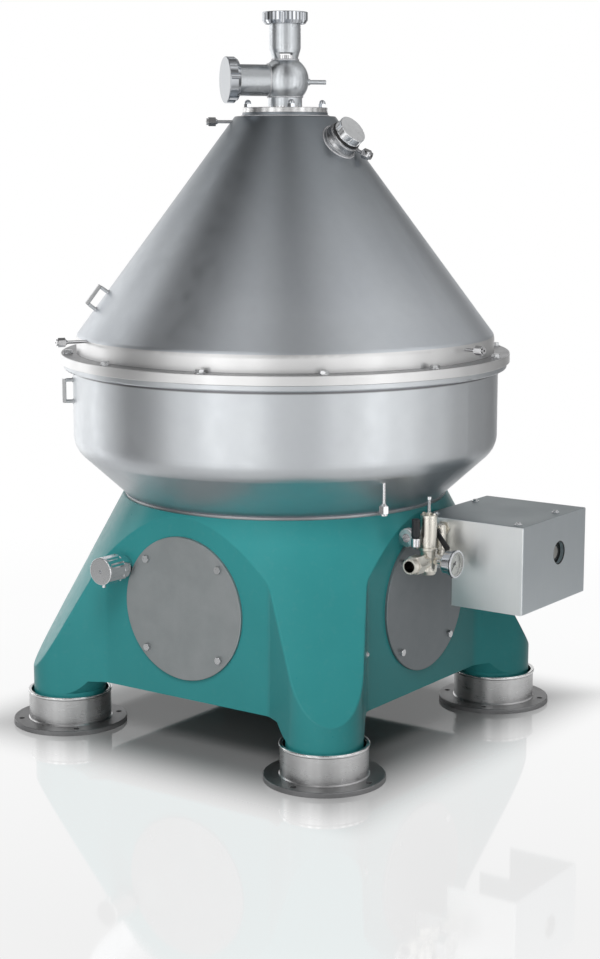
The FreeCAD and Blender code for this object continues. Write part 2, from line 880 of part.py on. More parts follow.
def flange_holes(low, high):
    """Bolt holes through the casing and hood flanges."""
    hole = drill(flange_bolt_radius + bolt_clearance, low, high)
    return Part.makeCompound([hole.translated(point) for point in flange_points()])


def hood_outer_solid():
    """Outer form of the hood's skirt and cone, also used to seat pieces on it."""
    return turned([
        (0, hood_bottom_height), (skirt_radius, hood_bottom_height), (skirt_radius, skirt_top_height, 30),
        (cone_top_radius, cone_top_height, 6), (0, cone_top_height)])


def cone_radius(height):
    """Outer radius of the hood's cone at a height."""
    return skirt_radius - (height - skirt_top_height) * cone_slope


def port_origin():
    """Point on the hood's cone at the middle of the inspection port."""
    return around(port_angle, cone_radius(port_height), port_height)


def hood():
    """Hood: thick flange ring, short skirt and a long cone that ends in a collar."""
    slant = hood_wall * math.sqrt(1.0 + cone_slope ** 2)
    inner_skirt = skirt_radius - hood_wall
    inner_corner = skirt_top_height - (slant - hood_wall) / cone_slope
    collar_low = collar_top_height - collar_depth
    hollow_top = collar_top_height + cut_margin
    inner_top = cone_top_radius + (cone_top_height - collar_low) * cone_slope - slant
    hollow = turned([
        (0, hood_bottom_height - 1), (inner_skirt, hood_bottom_height - 1), (inner_skirt, inner_corner, 24),
        (inner_top, collar_low), (collar_bore_radius, collar_low), (collar_bore_radius, hollow_top),
        (0, hollow_top)])
    flange = turned([
        (inner_skirt + 2, hood_bottom_height), (hood_flange_radius, hood_bottom_height, 2),
        (hood_flange_radius, hood_flange_top, 3), (inner_skirt + 2, hood_flange_top)])
    collar = turned([
        (0, cone_top_height - 4), (collar_radius, cone_top_height - 4), (collar_radius, collar_top_height, 1),
        (0, collar_top_height)])
    body = hood_outer_solid().fuse(flange).fuse(collar).cut(hollow)
    body = body.cut(flange_holes(hood_bottom_height, hood_flange_top))
    port = cylinder(port_bore_radius, -60, 20)
    body = body.cut(placed(port, port_origin(), heading(port_angle, cone_rise)))
    for point in cap_nut_points():
        hole = drill(stud_radius + bolt_clearance, collar_top_height - stud_hole_depth, collar_top_height)
        body = body.cut(hole.translated(point))
    return body.removeSplitter()


def hood_gasket():
    """Flat gasket between the two flanges."""
    inner = casing_radius - casing_wall + 2.0
    gasket = ring(inner + gasket_width, inner, casing_flange_height, hood_bottom_height)
    return gasket.cut(flange_holes(casing_flange_height, hood_bottom_height))


def hood_bolts():
    """Bolts of the hood flange with their washers, screwed into the casing's flange."""
    washer_top = hood_flange_top + flange_washer_thickness
    shank = cylinder(flange_bolt_radius, casing_flange_height - casing_flange_thickness + 1, washer_top)
    washer = ring(flange_washer_radius, flange_bolt_radius - 0.5, hood_flange_top, washer_top)
    head = hexagon(flange_bolt_head, washer_top, washer_top + flange_bolt_head_height)
    bolt = joined([shank, washer, head])
    bolts = []
    for index, point in enumerate(flange_points()):
        single = bolt.copy()
        single.rotate(Vector(0, 0, 0), Vector(0, 0, 1), flange_bolt_turn * index)
        bolts.append(single.translated(point))
    return Part.makeCompound(bolts)


def cap_nut_points():
    return [around(45.0 + 360.0 * k / cap_nut_count, cap_nut_circle_radius, 0) for k in range(cap_nut_count)]


def top_plate():
    """Round plate that closes the hood, with a groove around its edge."""
    middle = (collar_top_height + top_plate_top) / 2
    inset = top_plate_radius - top_plate_groove
    groove = top_plate_groove / 2
    bore = pump_tube_radius + plate_bore_gap
    plate = turned([
        (bore, collar_top_height), (top_plate_radius, collar_top_height, 0.8),
        (top_plate_radius, middle - groove), (inset, middle - groove), (inset, middle + groove),
        (top_plate_radius, middle + groove), (top_plate_radius, top_plate_top, 1.5), (bore, top_plate_top)])
    for point in cap_nut_points():
        hole = drill(stud_radius + bolt_clearance, collar_top_height, top_plate_top)
        plate = plate.cut(hole.translated(point))
    return plate


def top_cap_nuts():
    """Studs of the top plate with their domed nuts."""
    hex_top = top_plate_top + cap_nut_hex_height
    dome_low = hex_top + cap_nut_dome_rise
    stud = cylinder(stud_radius, collar_top_height - stud_depth, top_plate_top)
    dome = Part.makeSphere(cap_nut_dome_radius, Vector(0, 0, dome_low))
    dome = dome.common(cylinder(cap_nut_width, hex_top - cut_margin, dome_low + cap_nut_width))
    neck = cylinder(cap_nut_dome_radius, hex_top - cut_margin, dome_low)
    nut = joined([stud, hexagon(cap_nut_width, top_plate_top, hex_top), neck, dome])
    return Part.makeCompound([nut.translated(point) for point in cap_nut_points()])


def sleeve_outline():
    """Outer corners of the upright sleeve, with its turned grooves and thread."""
    corners = [
        (0, globe_height), (sleeve_low_radius, globe_height), (sleeve_low_radius, sleeve_low_top, 8),
        (sleeve_radius, sleeve_cone_top, 14)]
    inset = sleeve_radius - sleeve_groove_depth
    for drop in sleeve_groove_drops:
        low = sleeve_top_height - drop - sleeve_groove_width / 2
        high = low + sleeve_groove_width
        corners += [(sleeve_radius, low), (inset, low), (inset, high), (sleeve_radius, high)]
    thread_top = sleeve_top_height + thread_length
    corners += [
        (sleeve_radius, sleeve_top_height), (thread_radius, sleeve_top_height),
        (thread_radius, thread_top, thread_edge), (0, thread_top)]
    return corners


def feed_head():
    """Head on the hood: a hollow globe with an upright sleeve, a side branch and a small stub pipe."""
    neck = cylinder(neck_radius, head_bottom_height, globe_height)
    globe = Part.makeSphere(globe_radius, Vector(0, 0, globe_height))
    sleeve = turned(sleeve_outline())
    flat = Part.makeBox(
        2 * sleeve_radius, sleeve_flat_width, sleeve_flat_height,
        Vector(sleeve_flat_distance, -sleeve_flat_width / 2, sleeve_flat_low))
    for side in (0.0, 180.0):
        cutter = flat.copy()
        cutter.rotate(Vector(0, 0, 0), Vector(0, 0, 1), sleeve_flat_angle - 90.0 + side)
        sleeve = sleeve.cut(cutter)
    branch_end = branch_length + thread_length
    branch = turned([
        (0, 0), (branch_radius, 0), (branch_radius, branch_length), (thread_radius, branch_length),
        (thread_radius, branch_end, thread_edge), (0, branch_end)])
    stub_root = globe_radius - globe_wall - cut_margin
    stub = cylinder(stub_radius, stub_root, stub_reach)
    stub = stub.fuse(cylinder(stub_collar_radius, stub_root, stub_collar_reach))
    centre = Vector(0, 0, globe_height)
    stub_place = Vector(0, 0, stub_height)
    body = globe.fuse(neck).fuse(sleeve)
    body = body.fuse(placed(branch, centre, heading(branch_angle)))
    body = body.fuse(placed(stub, stub_place, heading(stub_angle)))
    body = body.cut(Part.makeSphere(globe_radius - globe_wall, centre))
    body = body.cut(cylinder(neck_bore_radius, head_bottom_height - cut_margin, globe_height))
    body = body.cut(cylinder(head_bore_low_radius, globe_height, feed_flange_low))
    body = body.cut(cylinder(head_bore_radius, feed_flange_low, sleeve_top_height + thread_length + cut_margin))
    body = body.cut(placed(drill(branch_bore_radius, 0, branch_end), centre, heading(branch_angle)))
    body = body.cut(placed(drill(stub_bore_radius, 0, stub_reach), stub_place, heading(stub_angle)))
    return body.removeSplitter()


def blind_nut():
    """Closed round nut with slots for a hook spanner, its open side down at height 0."""
    bore = thread_radius + thread_clearance
    pocket = blind_nut_height - blind_nut_end
    body = turned([
        (bore, 0), (bore + blind_nut_lip, 0), (blind_nut_radius, blind_nut_slope),
        (blind_nut_radius, blind_nut_height, blind_nut_edge), (0, blind_nut_height), (0, pocket), (bore, pocket)])
    for point in circle_points(blind_nut_slots, blind_nut_radius + blind_nut_slot_offset):
        slot = cylinder(blind_nut_slot_radius, -cut_margin, blind_nut_height - blind_nut_slot_end)
        body = body.cut(slot.translated(point))
    return body


def blind_nut_start():
    """Height of a blind nut's open side above the end of the thread."""
    return -(blind_nut_height - blind_nut_end - seal_thickness - seal_clearance)


def nut_seal():
    """Flat seal disc between a thread's end and its blind nut."""
    return cylinder(thread_radius - nut_seal_inset, 0, seal_thickness)


def top_end():
    return Vector(0, 0, sleeve_top_height + thread_length)


def side_end():
    return Vector(0, 0, globe_height) + heading(branch_angle) * (branch_length + thread_length)


def port_neck():
    """Stepped neck welded on the hood's cone around the inspection hole."""
    low = -port_root_depth
    wide = port_neck_radius + port_neck_flare
    neck = turned([
        (port_bore_radius, low), (port_base_radius, low), (port_base_radius, port_base_height, port_base_edge),
        (port_base_radius - port_base_step, port_base_height),
        (wide, port_base_height + port_cone_length, port_cone_rounding),
        (wide, port_neck_height - port_groove_low),
        (port_neck_radius - port_groove_depth, port_neck_height - port_groove_high),
        (port_neck_radius - port_lip_inset, port_neck_height, port_lip_edge), (port_bore_radius, port_neck_height)])
    neck = placed(neck, port_origin(), heading(port_angle, cone_rise))
    return neck.cut(hood_outer_solid())


def port_seal():
    """Seal ring between the neck and its cap."""
    inner = port_bore_radius + port_seal_inset
    high = port_neck_height + port_seal_height
    seal = turned([
        (inner, port_neck_height), (port_seal_radius, port_neck_height, port_seal_edge),
        (port_seal_radius, high, port_seal_edge), (inner, high)])
    return placed(seal, port_origin(), heading(port_angle, cone_rise))


def port_cap():
    """Screw cap of the inspection port with slots around its edge and a spigot in the neck."""
    low = port_neck_height + port_seal_height + seal_clearance
    high = low + port_cap_height
    spigot = port_bore_radius - thread_clearance
    rim = port_cap_radius + port_cap_rim
    rim_top = low + port_cap_rim_height
    cap = turned([
        (0, low), (rim, low), (rim, rim_top, port_cap_rim_edge), (port_cap_radius, rim_top),
        (port_cap_radius, high, port_cap_edge), (0, high)])
    slot_circle = port_cap_radius + port_cap_slot_radius * port_cap_slot_share
    for point in circle_points(port_cap_slots, slot_circle, port_cap_slot_first):
        slot = cylinder(port_cap_slot_radius, low + port_cap_slot_low, high + cut_margin)
        cap = cap.cut(slot.translated(point))
    stem = ring(spigot, spigot - port_spigot_wall, low - port_spigot_length, low)
    return placed(joined([cap, stem]), port_origin(), heading(port_angle, cone_rise))


def tube_fitting(length, nut_width):
    """Small tube with a union nut at its end, starting at height 0."""
    nut_low = length - fitting_nut_length
    ferrule_low = nut_low - fitting_ferrule_length
    nut_high = length - fitting_lip_length
    tube = cylinder(tube_radius, -fitting_root_depth, nut_low)
    ferrule = turned([
        (0, ferrule_low), (tube_radius + fitting_ferrule_rim, ferrule_low),
        (nut_width * fitting_ferrule_share, nut_low), (0, nut_low)])
    nut = hexagon(nut_width, nut_low, nut_high)
    lip = cylinder(nut_width * fitting_lip_share, nut_high, length)
    body = joined([tube, ferrule, nut, lip])
    return body.cut(cylinder(fitting_bore_radius, length - fitting_bore_depth, length + cut_margin))


def tube_roots():
    """Root point of each tube fitting on the hood, a little inside the sheet."""
    crown_height = cone_top_height - crown_tube["drop"]
    port_tube_height = port_height - port_tube["drop"]
    skirt_root = skirt_radius - skirt_tube_depth
    return [
        (crown_tube, cone_radius(crown_height) - cone_tube_depth, crown_height),
        (left_tube, skirt_root, skirt_top_height - left_tube["drop"]),
        (right_tube, skirt_root, skirt_top_height - right_tube["drop"]),
        (port_tube, cone_radius(port_tube_height) - cone_tube_depth, port_tube_height)]


def tube_fittings():
    """Four tube fittings that leave the hood and the drain that hangs from the casing's taper."""
    fittings = []
    for tube, radius, height in tube_roots():
        fitting = placed(
            tube_fitting(tube["length"], tube["nut"]), around(tube["angle"], radius, height),
            heading(tube["angle"], tube["rise"]))
        fittings.append(fitting.cut(hood_outer_solid()).cut(port_neck()))
    root = casing_floor_height + (drain_circle_radius - taper_bottom_radius) / taper_slope
    drain = placed(
        tube_fitting(root - drain_bottom_height, drain_nut_width),
        around(drain_angle, drain_circle_radius, root), Vector(0, 0, -1))
    fittings.append(drain.cut(casing_outer_solid()))
    return Part.makeCompound(fittings)


def guide_lugs():
    """Two bent-bar lugs, one on the hood's cone and one on the casing."""
    hood_high = (cone_radius(hood_lug_top), hood_lug_top)
    hood_low = (cone_radius(hood_lug_bottom), hood_lug_bottom)
    rise = math.radians(cone_rise)
    out = (math.cos(rise), math.sin(rise))
    near = -lug_root_depth
    lugs = []
    casing_high = (casing_radius, casing_lug_top)
    casing_low = (casing_radius, casing_lug_bottom)
    for high, low, normal, reach, seat in (
            (hood_high, hood_low, out, hood_lug_reach, hood_outer_solid()),
            (casing_high, casing_low, (1.0, 0.0), casing_lug_reach, casing_outer_solid())):
        far = reach - lug_bar_radius
        corners = [
            (low[0] + normal[0] * near, low[1] + normal[1] * near),
            (low[0] + normal[0] * far, low[1] + normal[1] * far, lug_bend_radius),
            (high[0] + normal[0] * far, high[1] + normal[1] * far, lug_bend_radius),
            (high[0] + normal[0] * near, high[1] + normal[1] * near)]
        start = Vector(corners[0][0], 0, corners[0][1])
        lug = bar(corners, lug_bar_radius, start)
        lug.rotate(Vector(0, 0, 0), Vector(0, 0, 1), lug_angle - 90.0)
        lugs.append(lug.cut(seat))
    return Part.makeCompound(lugs)


def sediment_outlet():
    """Discharge pipe at the back of the casing with its bolted flange."""
    outer = outlet_bore_radius + outlet_wall
    flange_low = outlet_reach - outlet_flange_thickness
    root = casing_radius - outlet_root_depth
    pipe = turned([
        (outlet_bore_radius, root), (outer, root), (outer, flange_low),
        (outlet_flange_radius, flange_low, outlet_edge), (outlet_flange_radius, outlet_reach, outlet_edge),
        (outlet_bore_radius, outlet_reach)])
    for point in circle_points(outlet_bolt_count, outlet_bolt_circle_radius, outlet_bolt_first):
        hole = drill(outlet_bolt_hole_radius, flange_low, outlet_reach)
        pipe = pipe.cut(hole.translated(point))
    pipe = placed(pipe, Vector(0, 0, outlet_height), heading(180.0))
    return pipe.cut(cylinder(casing_radius, 0, casing_flange_height))


def motor_housing():
    """Finned motor housing with the lower bearing seat in its floor."""
    inner = motor_radius - motor_wall
    floor_top = motor_bottom_height + motor_floor_thickness
    seat = low_bearing["outer"] + fit_clearance
    boss_top = low_bearing["low"] + low_bearing["width"]
    flange_low = housing_flange_low - motor_flange_thickness
    opening = low_bearing["inner"] + motor_floor_gap
    boss = seat + motor_seat_wall
    body = turned([
        (opening, motor_bottom_height), (motor_radius, motor_bottom_height, motor_bottom_rounding),
        (motor_radius, flange_low), (motor_flange_radius, flange_low, motor_flange_edge),
        (motor_flange_radius, housing_flange_low), (inner, housing_flange_low), (inner, floor_top),
        (boss, floor_top), (boss, boss_top), (seat, boss_top), (seat, low_bearing["low"]),
        (opening, low_bearing["low"])])
    fin_low = motor_bottom_height + motor_fin_low
    fin = Part.makeBox(
        motor_fin_depth + motor_fin_root, motor_fin_width, flange_low - motor_fin_high - fin_low,
        Vector(motor_radius - motor_fin_root, -motor_fin_width / 2, fin_low))
    for k in range(motor_fin_count):
        single = fin.copy()
        single.rotate(Vector(0, 0, 0), Vector(0, 0, 1), 360.0 * k / motor_fin_count)
        body = body.fuse(single)
    return body.removeSplitter()


def stator():
    return ring(motor_radius - motor_wall - fit_clearance, stator_bore_radius, stator_low, stator_high)


def motor_rotor():
    low = stator_low - rotor_overhang
    high = stator_high + rotor_overhang
    return ring(stator_bore_radius - air_gap, spindle_radius + fit_clearance, low, high)


def bearing_housing():
    """Upper bearing housing, hung on the frame's top plate."""
    seat = high_bearing["outer"] + fit_clearance
    low = high_bearing["low"]
    high = low + high_bearing["width"]
    neck = spindle_high_radius + housing_neck_gap
    mouth = neck + housing_seat_step
    return turned([
        (mouth, housing_low), (housing_radius, housing_low), (housing_radius, housing_flange_low),
        (motor_flange_radius, housing_flange_low), (motor_flange_radius, housing_flange_high),
        (housing_radius, housing_flange_high), (housing_radius, housing_high, housing_edge), (neck, housing_high),
        (neck, high), (seat, high), (seat, low), (mouth, low)])


def bearing_torus(bearing, extra):
    """Groove of the balls' path, wider than a ball by extra."""
    pitch = (bearing["inner"] + bearing["outer"]) / 2
    middle = bearing["low"] + bearing["width"] / 2
    return Part.makeTorus(pitch, bearing["ball"] + extra, Vector(0, 0, middle), Vector(0, 0, 1))


def race_radii(bearing):
    """Radii of the lands beside the inner and outer grooves."""
    pitch = (bearing["inner"] + bearing["outer"]) / 2
    half = bearing["ball"] * race_depth_share
    return pitch - half, pitch + half


def bearing_outer_rings():
    rings = []
    for bearing in (high_bearing, low_bearing):
        land = race_radii(bearing)[1]
        blank = ring(bearing["outer"], land, bearing["low"], bearing["low"] + bearing["width"])
        rings.append(blank.cut(bearing_torus(bearing, race_clearance)))
    return Part.makeCompound(rings)


def bearing_inner_rings():
    rings = []
    for bearing in (high_bearing, low_bearing):
        land = race_radii(bearing)[0]
        bore = bearing["inner"] + fit_clearance
        blank = ring(land, bore, bearing["low"], bearing["low"] + bearing["width"])
        rings.append(blank.cut(bearing_torus(bearing, race_clearance)))
    return Part.makeCompound(rings)


def bearing_cages():
    """Cages of both bearings with their balls."""
    pieces = []
    for bearing in (high_bearing, low_bearing):
        pitch = (bearing["inner"] + bearing["outer"]) / 2
        middle = bearing["low"] + bearing["width"] / 2
        half = bearing["ball"] * cage_height_share
        cage = ring(pitch + cage_wall / 2, pitch - cage_wall / 2, middle - half, middle + half)
        for point in circle_points(bearing["count"], pitch):
            centre = point + Vector(0, 0, middle)
            cage = cage.cut(Part.makeSphere(bearing["ball"] + race_clearance, centre))
            pieces.append(Part.makeSphere(bearing["ball"], centre))
        pieces.append(cage)
    return Part.makeCompound(pieces)


def spindle():
    """Vertical spindle: bearing seats, rotor seat and the taper for the bowl."""
    tip = hub_top_height - spindle_tip_drop
    stud = spindle_tip_radius - spindle_stud_step
    low_seat_top = low_bearing["low"] + low_bearing["width"] + spindle_seat_overrun
    return turned([
        (0, spindle_bottom_height), (spindle_low_radius, spindle_bottom_height, spindle_edge),
        (spindle_low_radius, low_seat_top), (spindle_radius, low_seat_top + spindle_step),
        (spindle_radius, housing_low - spindle_collar_half), (spindle_high_radius, housing_low + spindle_collar_half),
        (spindle_high_radius, bowl_seat), (spindle_tip_radius, spindle_taper_top),
        (stud, spindle_taper_top), (stud, tip, spindle_edge), (0, tip)])


def bowl_bottom():
    """Lower bowl shell: hub on the spindle's taper, land for the piston and a ring of sediment ports."""
    inner = bowl_radius - bowl_wall
    clear = fit_clearance
    land = piston_bottom_height - piston_rest_gap
    shell = turned([
        (spindle_high_radius + clear, bowl_seat), (90, bowl_bottom_height), (300, bowl_seat + 30, 60),
        (440, bowl_seat + 92, 60), (bowl_radius, bowl_shoulder_height, 20), (bowl_radius, bowl_rim_height, 6),
        (inner, bowl_rim_height), (inner, bowl_shoulder_height, 12), (inner - 20, bowl_seat + 115, 30),
        (290, bowl_seat + 72, 60), (175, bowl_seat + 55, 12), (160, land), (hub_radius, land),
        (hub_radius, hub_top_height, 4),
        (spindle_tip_radius + clear, hub_top_height), (spindle_tip_radius + clear, spindle_taper_top),
        (spindle_high_radius + clear, bowl_seat)])
    port_low = bowl_top_low - sediment_port_height + 1
    port = Part.makeBox(
        bowl_wall + 20, sediment_port_width, sediment_port_height,
        Vector(inner - 10, -sediment_port_width / 2, port_low))
    for k in range(sediment_port_count):
        single = port.copy()
        single.rotate(Vector(0, 0, 0), Vector(0, 0, 1), 360.0 * k / sediment_port_count)
        shell = shell.cut(single)
    return shell


def sliding_piston():
    """Dished piston, lowered at rest; its rim rises against the bowl top to close the sediment ports."""
    outer = bowl_radius - bowl_wall - piston_gap
    bore = hub_radius + piston_gap
    low = piston_bottom_height
    rim_top = bowl_top_low - piston_rest_gap - piston_travel
    inner = outer - piston_rim_width
    return turned([
        (bore, low), (290, low + 24, 60), (418, low + 66, 40), (outer, low + 84, 6), (outer, rim_top, 2),
        (inner, rim_top, 2), (inner - 10, low + 86, 20), (285, low + 24 + piston_thickness, 60),
        (bore, low + piston_thickness)])


def bowl_top():
    """Upper bowl shell: seat under the lock ring, cone and the paring chamber."""
    chamber_low = bowl_chamber_floor - bowl_chamber_wall
    outer = bowl_radius - bowl_wall - lock_ring_gap
    return turned([
        (outer - 50, bowl_top_low), (outer, bowl_top_low, 2), (outer, bowl_top_seat),
        (outer - lock_ring_width - 2, bowl_top_seat), (398, bowl_top_seat + 44, 10),
        (bowl_chamber_radius, bowl_chamber_floor - 12, 12),
        (bowl_chamber_radius, bowl_chamber_top), (bowl_chamber_bore, bowl_chamber_top),
        (bowl_chamber_bore, bowl_chamber_floor), (bowl_mouth_radius, bowl_chamber_floor),
        (bowl_mouth_radius, chamber_low), (84, chamber_low), (96, chamber_low - 34, 10),
        (388, bowl_top_seat + 25, 20)])


def bowl_lock_ring():
    """Large ring that holds the bowl top, with spanner notches."""
    outer = bowl_radius - bowl_wall - lock_ring_gap
    high = bowl_top_seat + lock_ring_height
    body = turned([
        (outer - lock_ring_width, bowl_top_seat), (outer, bowl_top_seat), (outer, high, lock_ring_edge),
        (outer - lock_ring_width, high, lock_ring_edge)])
    notch = cylinder(lock_ring_notch_radius, high - lock_ring_notch_depth, high + cut_margin)
    for point in circle_points(lock_ring_notches, outer - lock_ring_width / 2):
        body = body.cut(notch.translated(point))
    return body


def chamber_cover():
    """Cover of the paring chamber."""
    radius = bowl_chamber_bore - chamber_cover_gap
    rim = bowl_chamber_radius - chamber_cover_inset
    low = bowl_chamber_top - chamber_cover_depth
    high = bowl_chamber_top + chamber_cover_height
    return turned([
        (bowl_mouth_radius, low), (radius, low), (radius, bowl_chamber_top), (rim, bowl_chamber_top),
        (rim, high, 3), (bowl_mouth_radius, high, 2)])


def distributor():
    """Distributor: central tube and a conical skirt under the discs."""
    bore = distributor_tube_radius - distributor_tube_wall
    wall = distributor_skirt_wall
    tube = ring(distributor_tube_radius, bore, hub_top_height, distributor_top)
    root = distributor_tube_radius - distributor_weld_depth
    skirt = turned([
        (root, distributor_skirt_high), (root, distributor_skirt_high + wall),
        (distributor_skirt_radius, distributor_skirt_low + wall), (distributor_skirt_radius, distributor_skirt_low)])
    return joined([tube, skirt])


def disc_stack():
    """Stack of conical separating discs."""
    slope = (distributor_skirt_high - distributor_skirt_low) / (distributor_skirt_radius - distributor_tube_radius)
    rise = (disc_outer_radius - disc_inner_radius) * slope
    start = distributor_skirt_low + distributor_skirt_wall + (distributor_skirt_radius - disc_outer_radius) * slope
    tall = disc_thickness * math.sqrt(1.0 + slope ** 2)
    discs = []
    for k in range(disc_count):
        low = start + disc_first_gap + k * disc_pitch
        inner = distributor_tube_radius + 0.5
        discs.append(turned([
            (disc_outer_radius, low), (disc_outer_radius, low + tall), (disc_inner_radius, low + rise + tall),
            (inner, low + rise + tall), (inner, low + rise + tall - disc_thickness), (disc_inner_radius, low + rise)]))
    return Part.makeCompound(discs)


def centripetal_pump():
    """Stationary paring disc on its tube, clamped under the feed head."""
    disc_high = pump_disc_low + pump_disc_thickness
    return turned([
        (pump_tube_bore, pump_disc_low), (pump_disc_radius, pump_disc_low + 2), (pump_disc_radius, disc_high - 2, 1),
        (pump_tube_radius + 3, disc_high, 4), (pump_tube_radius, disc_high + 12), (pump_tube_radius, top_plate_top),
        (neck_radius, top_plate_top), (neck_radius, head_bottom_height), (pump_tube_bore, head_bottom_height)])


def feed_tube():
    """Feed tube from the head's sleeve down into the bowl."""
    flange = head_bore_radius - 0.2
    high = feed_flange_low + feed_flange_thickness
    return turned([
        (feed_tube_bore, feed_tube_low), (feed_tube_radius, feed_tube_low, 1), (feed_tube_radius, feed_flange_low),
        (flange, feed_flange_low), (flange, high), (feed_tube_bore, high)])


def filler_origin():
    return Vector(filler_x, -panel_distance, filler_z)


def filler_neck():
    """Flanged neck of the oil filler."""
    end = filler_flange_thickness + filler_thread_length
    neck = turned([
        (0, 0), (filler_flange_radius, 0), (filler_flange_radius, filler_flange_thickness, filler_flange_edge),
        (filler_thread_radius, filler_flange_thickness), (filler_thread_radius, end, filler_thread_edge), (0, end)])
    return placed(neck, filler_origin(), heading(0.0))


def filler_seal():
    """Seal ring under the filler's cap."""
    low = filler_flange_thickness
    outer = filler_flange_radius - filler_seal_gap
    seal = ring(outer, filler_thread_radius + filler_seal_gap, low, low + seal_thickness)
    return placed(seal, filler_origin(), heading(0.0))


def filler_cap():
    """Knurled screw cap with a rim, grip flats, a vent hole and a small nub."""
    low = filler_flange_thickness + seal_thickness + seal_clearance
    high = low + filler_cap_length
    bore = filler_thread_radius + thread_clearance
    pocket = low + filler_thread_length + filler_pocket_gap
    rim = filler_cap_radius - filler_rim_inset
    cap = turned([
        (bore, low), (rim, low), (rim, low + filler_rim_low, 2), (filler_cap_radius, low + filler_rim_high, 3),
        (filler_cap_radius, high, 2.5), (0, high), (0, pocket), (bore, pocket)])
    for point in circle_points(filler_grips, filler_cap_radius + filler_grip_offset):
        groove = cylinder(filler_grip_radius, low + filler_grip_low, high - filler_grip_end)
        cap = cap.cut(groove.translated(point))
    cap = cap.cut(cylinder(filler_vent_radius, high - filler_vent_depth, high + cut_margin))
    nub = cylinder(filler_nub_radius, filler_cap_radius - filler_nub_root, filler_cap_radius + filler_nub_reach)
    nub = placed(nub, Vector(0, 0, high - filler_nub_drop), Vector(0, -1, 0))
    cap = joined([cap, nub])
    turn = FreeCAD.Rotation(Vector(1, 0, 0), 90)
    cap.Placement = FreeCAD.Placement(filler_origin(), turn)
    return cap


def control_box():
    """Folded sheet hood of the control box, open at the back and below, notched beside the side cover."""
    sheet = box_sheet
    side = Part.Face(outline([
        (box_near_x, box_high_z), (box_far_x, box_high_z), (box_far_x, box_low_z), (box_notch_x, box_low_z),
        (box_notch_x, box_notch_z), (box_near_x, box_notch_z)], True))
    body = side.extrude(Vector(0, box_high_y - box_low_y, 0)).translated(Vector(0, box_low_y, 0))
    near = box_near_x - cut_margin
    low = box_low_z - cut_margin
    hollow = Part.makeBox(
        box_far_x - sheet - near, box_high_y - box_low_y - 2 * sheet, box_high_z - sheet - low,
        Vector(near, box_low_y + sheet, low))
    edges = [
        edge for edge in body.Edges
        if edge.BoundBox.XMin > box_far_x - cut_margin or edge.BoundBox.ZMin > box_high_z - cut_margin]
    body = body.makeFillet(box_bend_radius, edges).cut(hollow)
    hole = drill(box_hole_radius, -sheet, 0)
    body = body.cut(placed(hole, Vector(box_far_x, box_hole_y, box_hole_z), Vector(1, 0, 0)))
    for x, y in box_screw_points:
        screw = drill(box_screw_radius + bolt_clearance, box_high_z - sheet, box_high_z)
        body = body.cut(screw.translated(Vector(x, y, 0)))
    return body


def box_bracket():
    """Bracket under the box's lid: foot on the panel, two arms, a top plate and a socket plate."""
    top = box_high_z - box_sheet
    sheet = bracket_sheet
    far = box_far_x - bracket_far_gap
    near = box_near_x + bracket_near_gap
    arm_top = top - sheet
    arm_low = arm_top - bracket_arm_depth
    wide = bracket_high_y - bracket_low_y
    plate = Part.makeBox(far - near, wide, sheet, Vector(near, bracket_low_y, arm_top))
    window_near = box_near_x + bracket_window_near
    window = Part.makeBox(
        far - bracket_window_far - window_near, wide - 2 * bracket_window_side, 3 * sheet,
        Vector(window_near, bracket_low_y + bracket_window_side, arm_top - sheet))
    pieces = [plate.cut(window)]
    for y in bracket_arm_ys:
        pieces.append(Part.makeBox(
            far - panel_distance - sheet, sheet, bracket_arm_depth, Vector(panel_distance + sheet, y, arm_low)))
    pieces.append(Part.makeBox(
        sheet, bracket_arm_ys[1] - bracket_arm_ys[0] + sheet, arm_top - bracket_foot_low,
        Vector(panel_distance, bracket_arm_ys[0], bracket_foot_low)))
    socket_back = box_far_x - socket_depth - socket_length
    socket_low = box_hole_z - socket_radius - bracket_socket_low
    socket_half = socket_radius + bracket_socket_side
    pieces.append(Part.makeBox(
        sheet, 2 * socket_half, arm_top - socket_low,
        Vector(socket_back - sheet, box_hole_y - socket_half, socket_low)))
    body = joined(pieces)
    for x, y in box_screw_points:
        hole = drill(box_screw_radius + bolt_clearance, arm_low, top)
        body = body.cut(hole.translated(Vector(x, y, 0)))
    return body


def box_screws():
    """Screws that hold the sheet hood on its bracket."""
    screws = []
    for x, y in box_screw_points:
        head = hexagon(box_screw_width, box_high_z, box_high_z + box_screw_height)
        shank = cylinder(box_screw_radius, box_high_z - box_sheet - bracket_sheet - box_screw_reach, box_high_z)
        screws.append(joined([head, shank]).translated(Vector(x, y, 0)))
    return Part.makeCompound(screws)


def box_socket():
    """Round socket behind the hole in the box."""
    back = box_far_x - socket_depth - socket_length
    pins = socket_length - socket_pin_depth
    socket = turned([
        (0, 0), (socket_radius, 0), (socket_radius, socket_length, socket_edge),
        (socket_radius - socket_lip, socket_length), (socket_radius - socket_pin_inset, pins), (0, pins)])
    return placed(socket, Vector(back, box_hole_y, box_hole_z), Vector(1, 0, 0))


def at_regulator(height):
    return Vector(regulator_x, regulator_y, height)


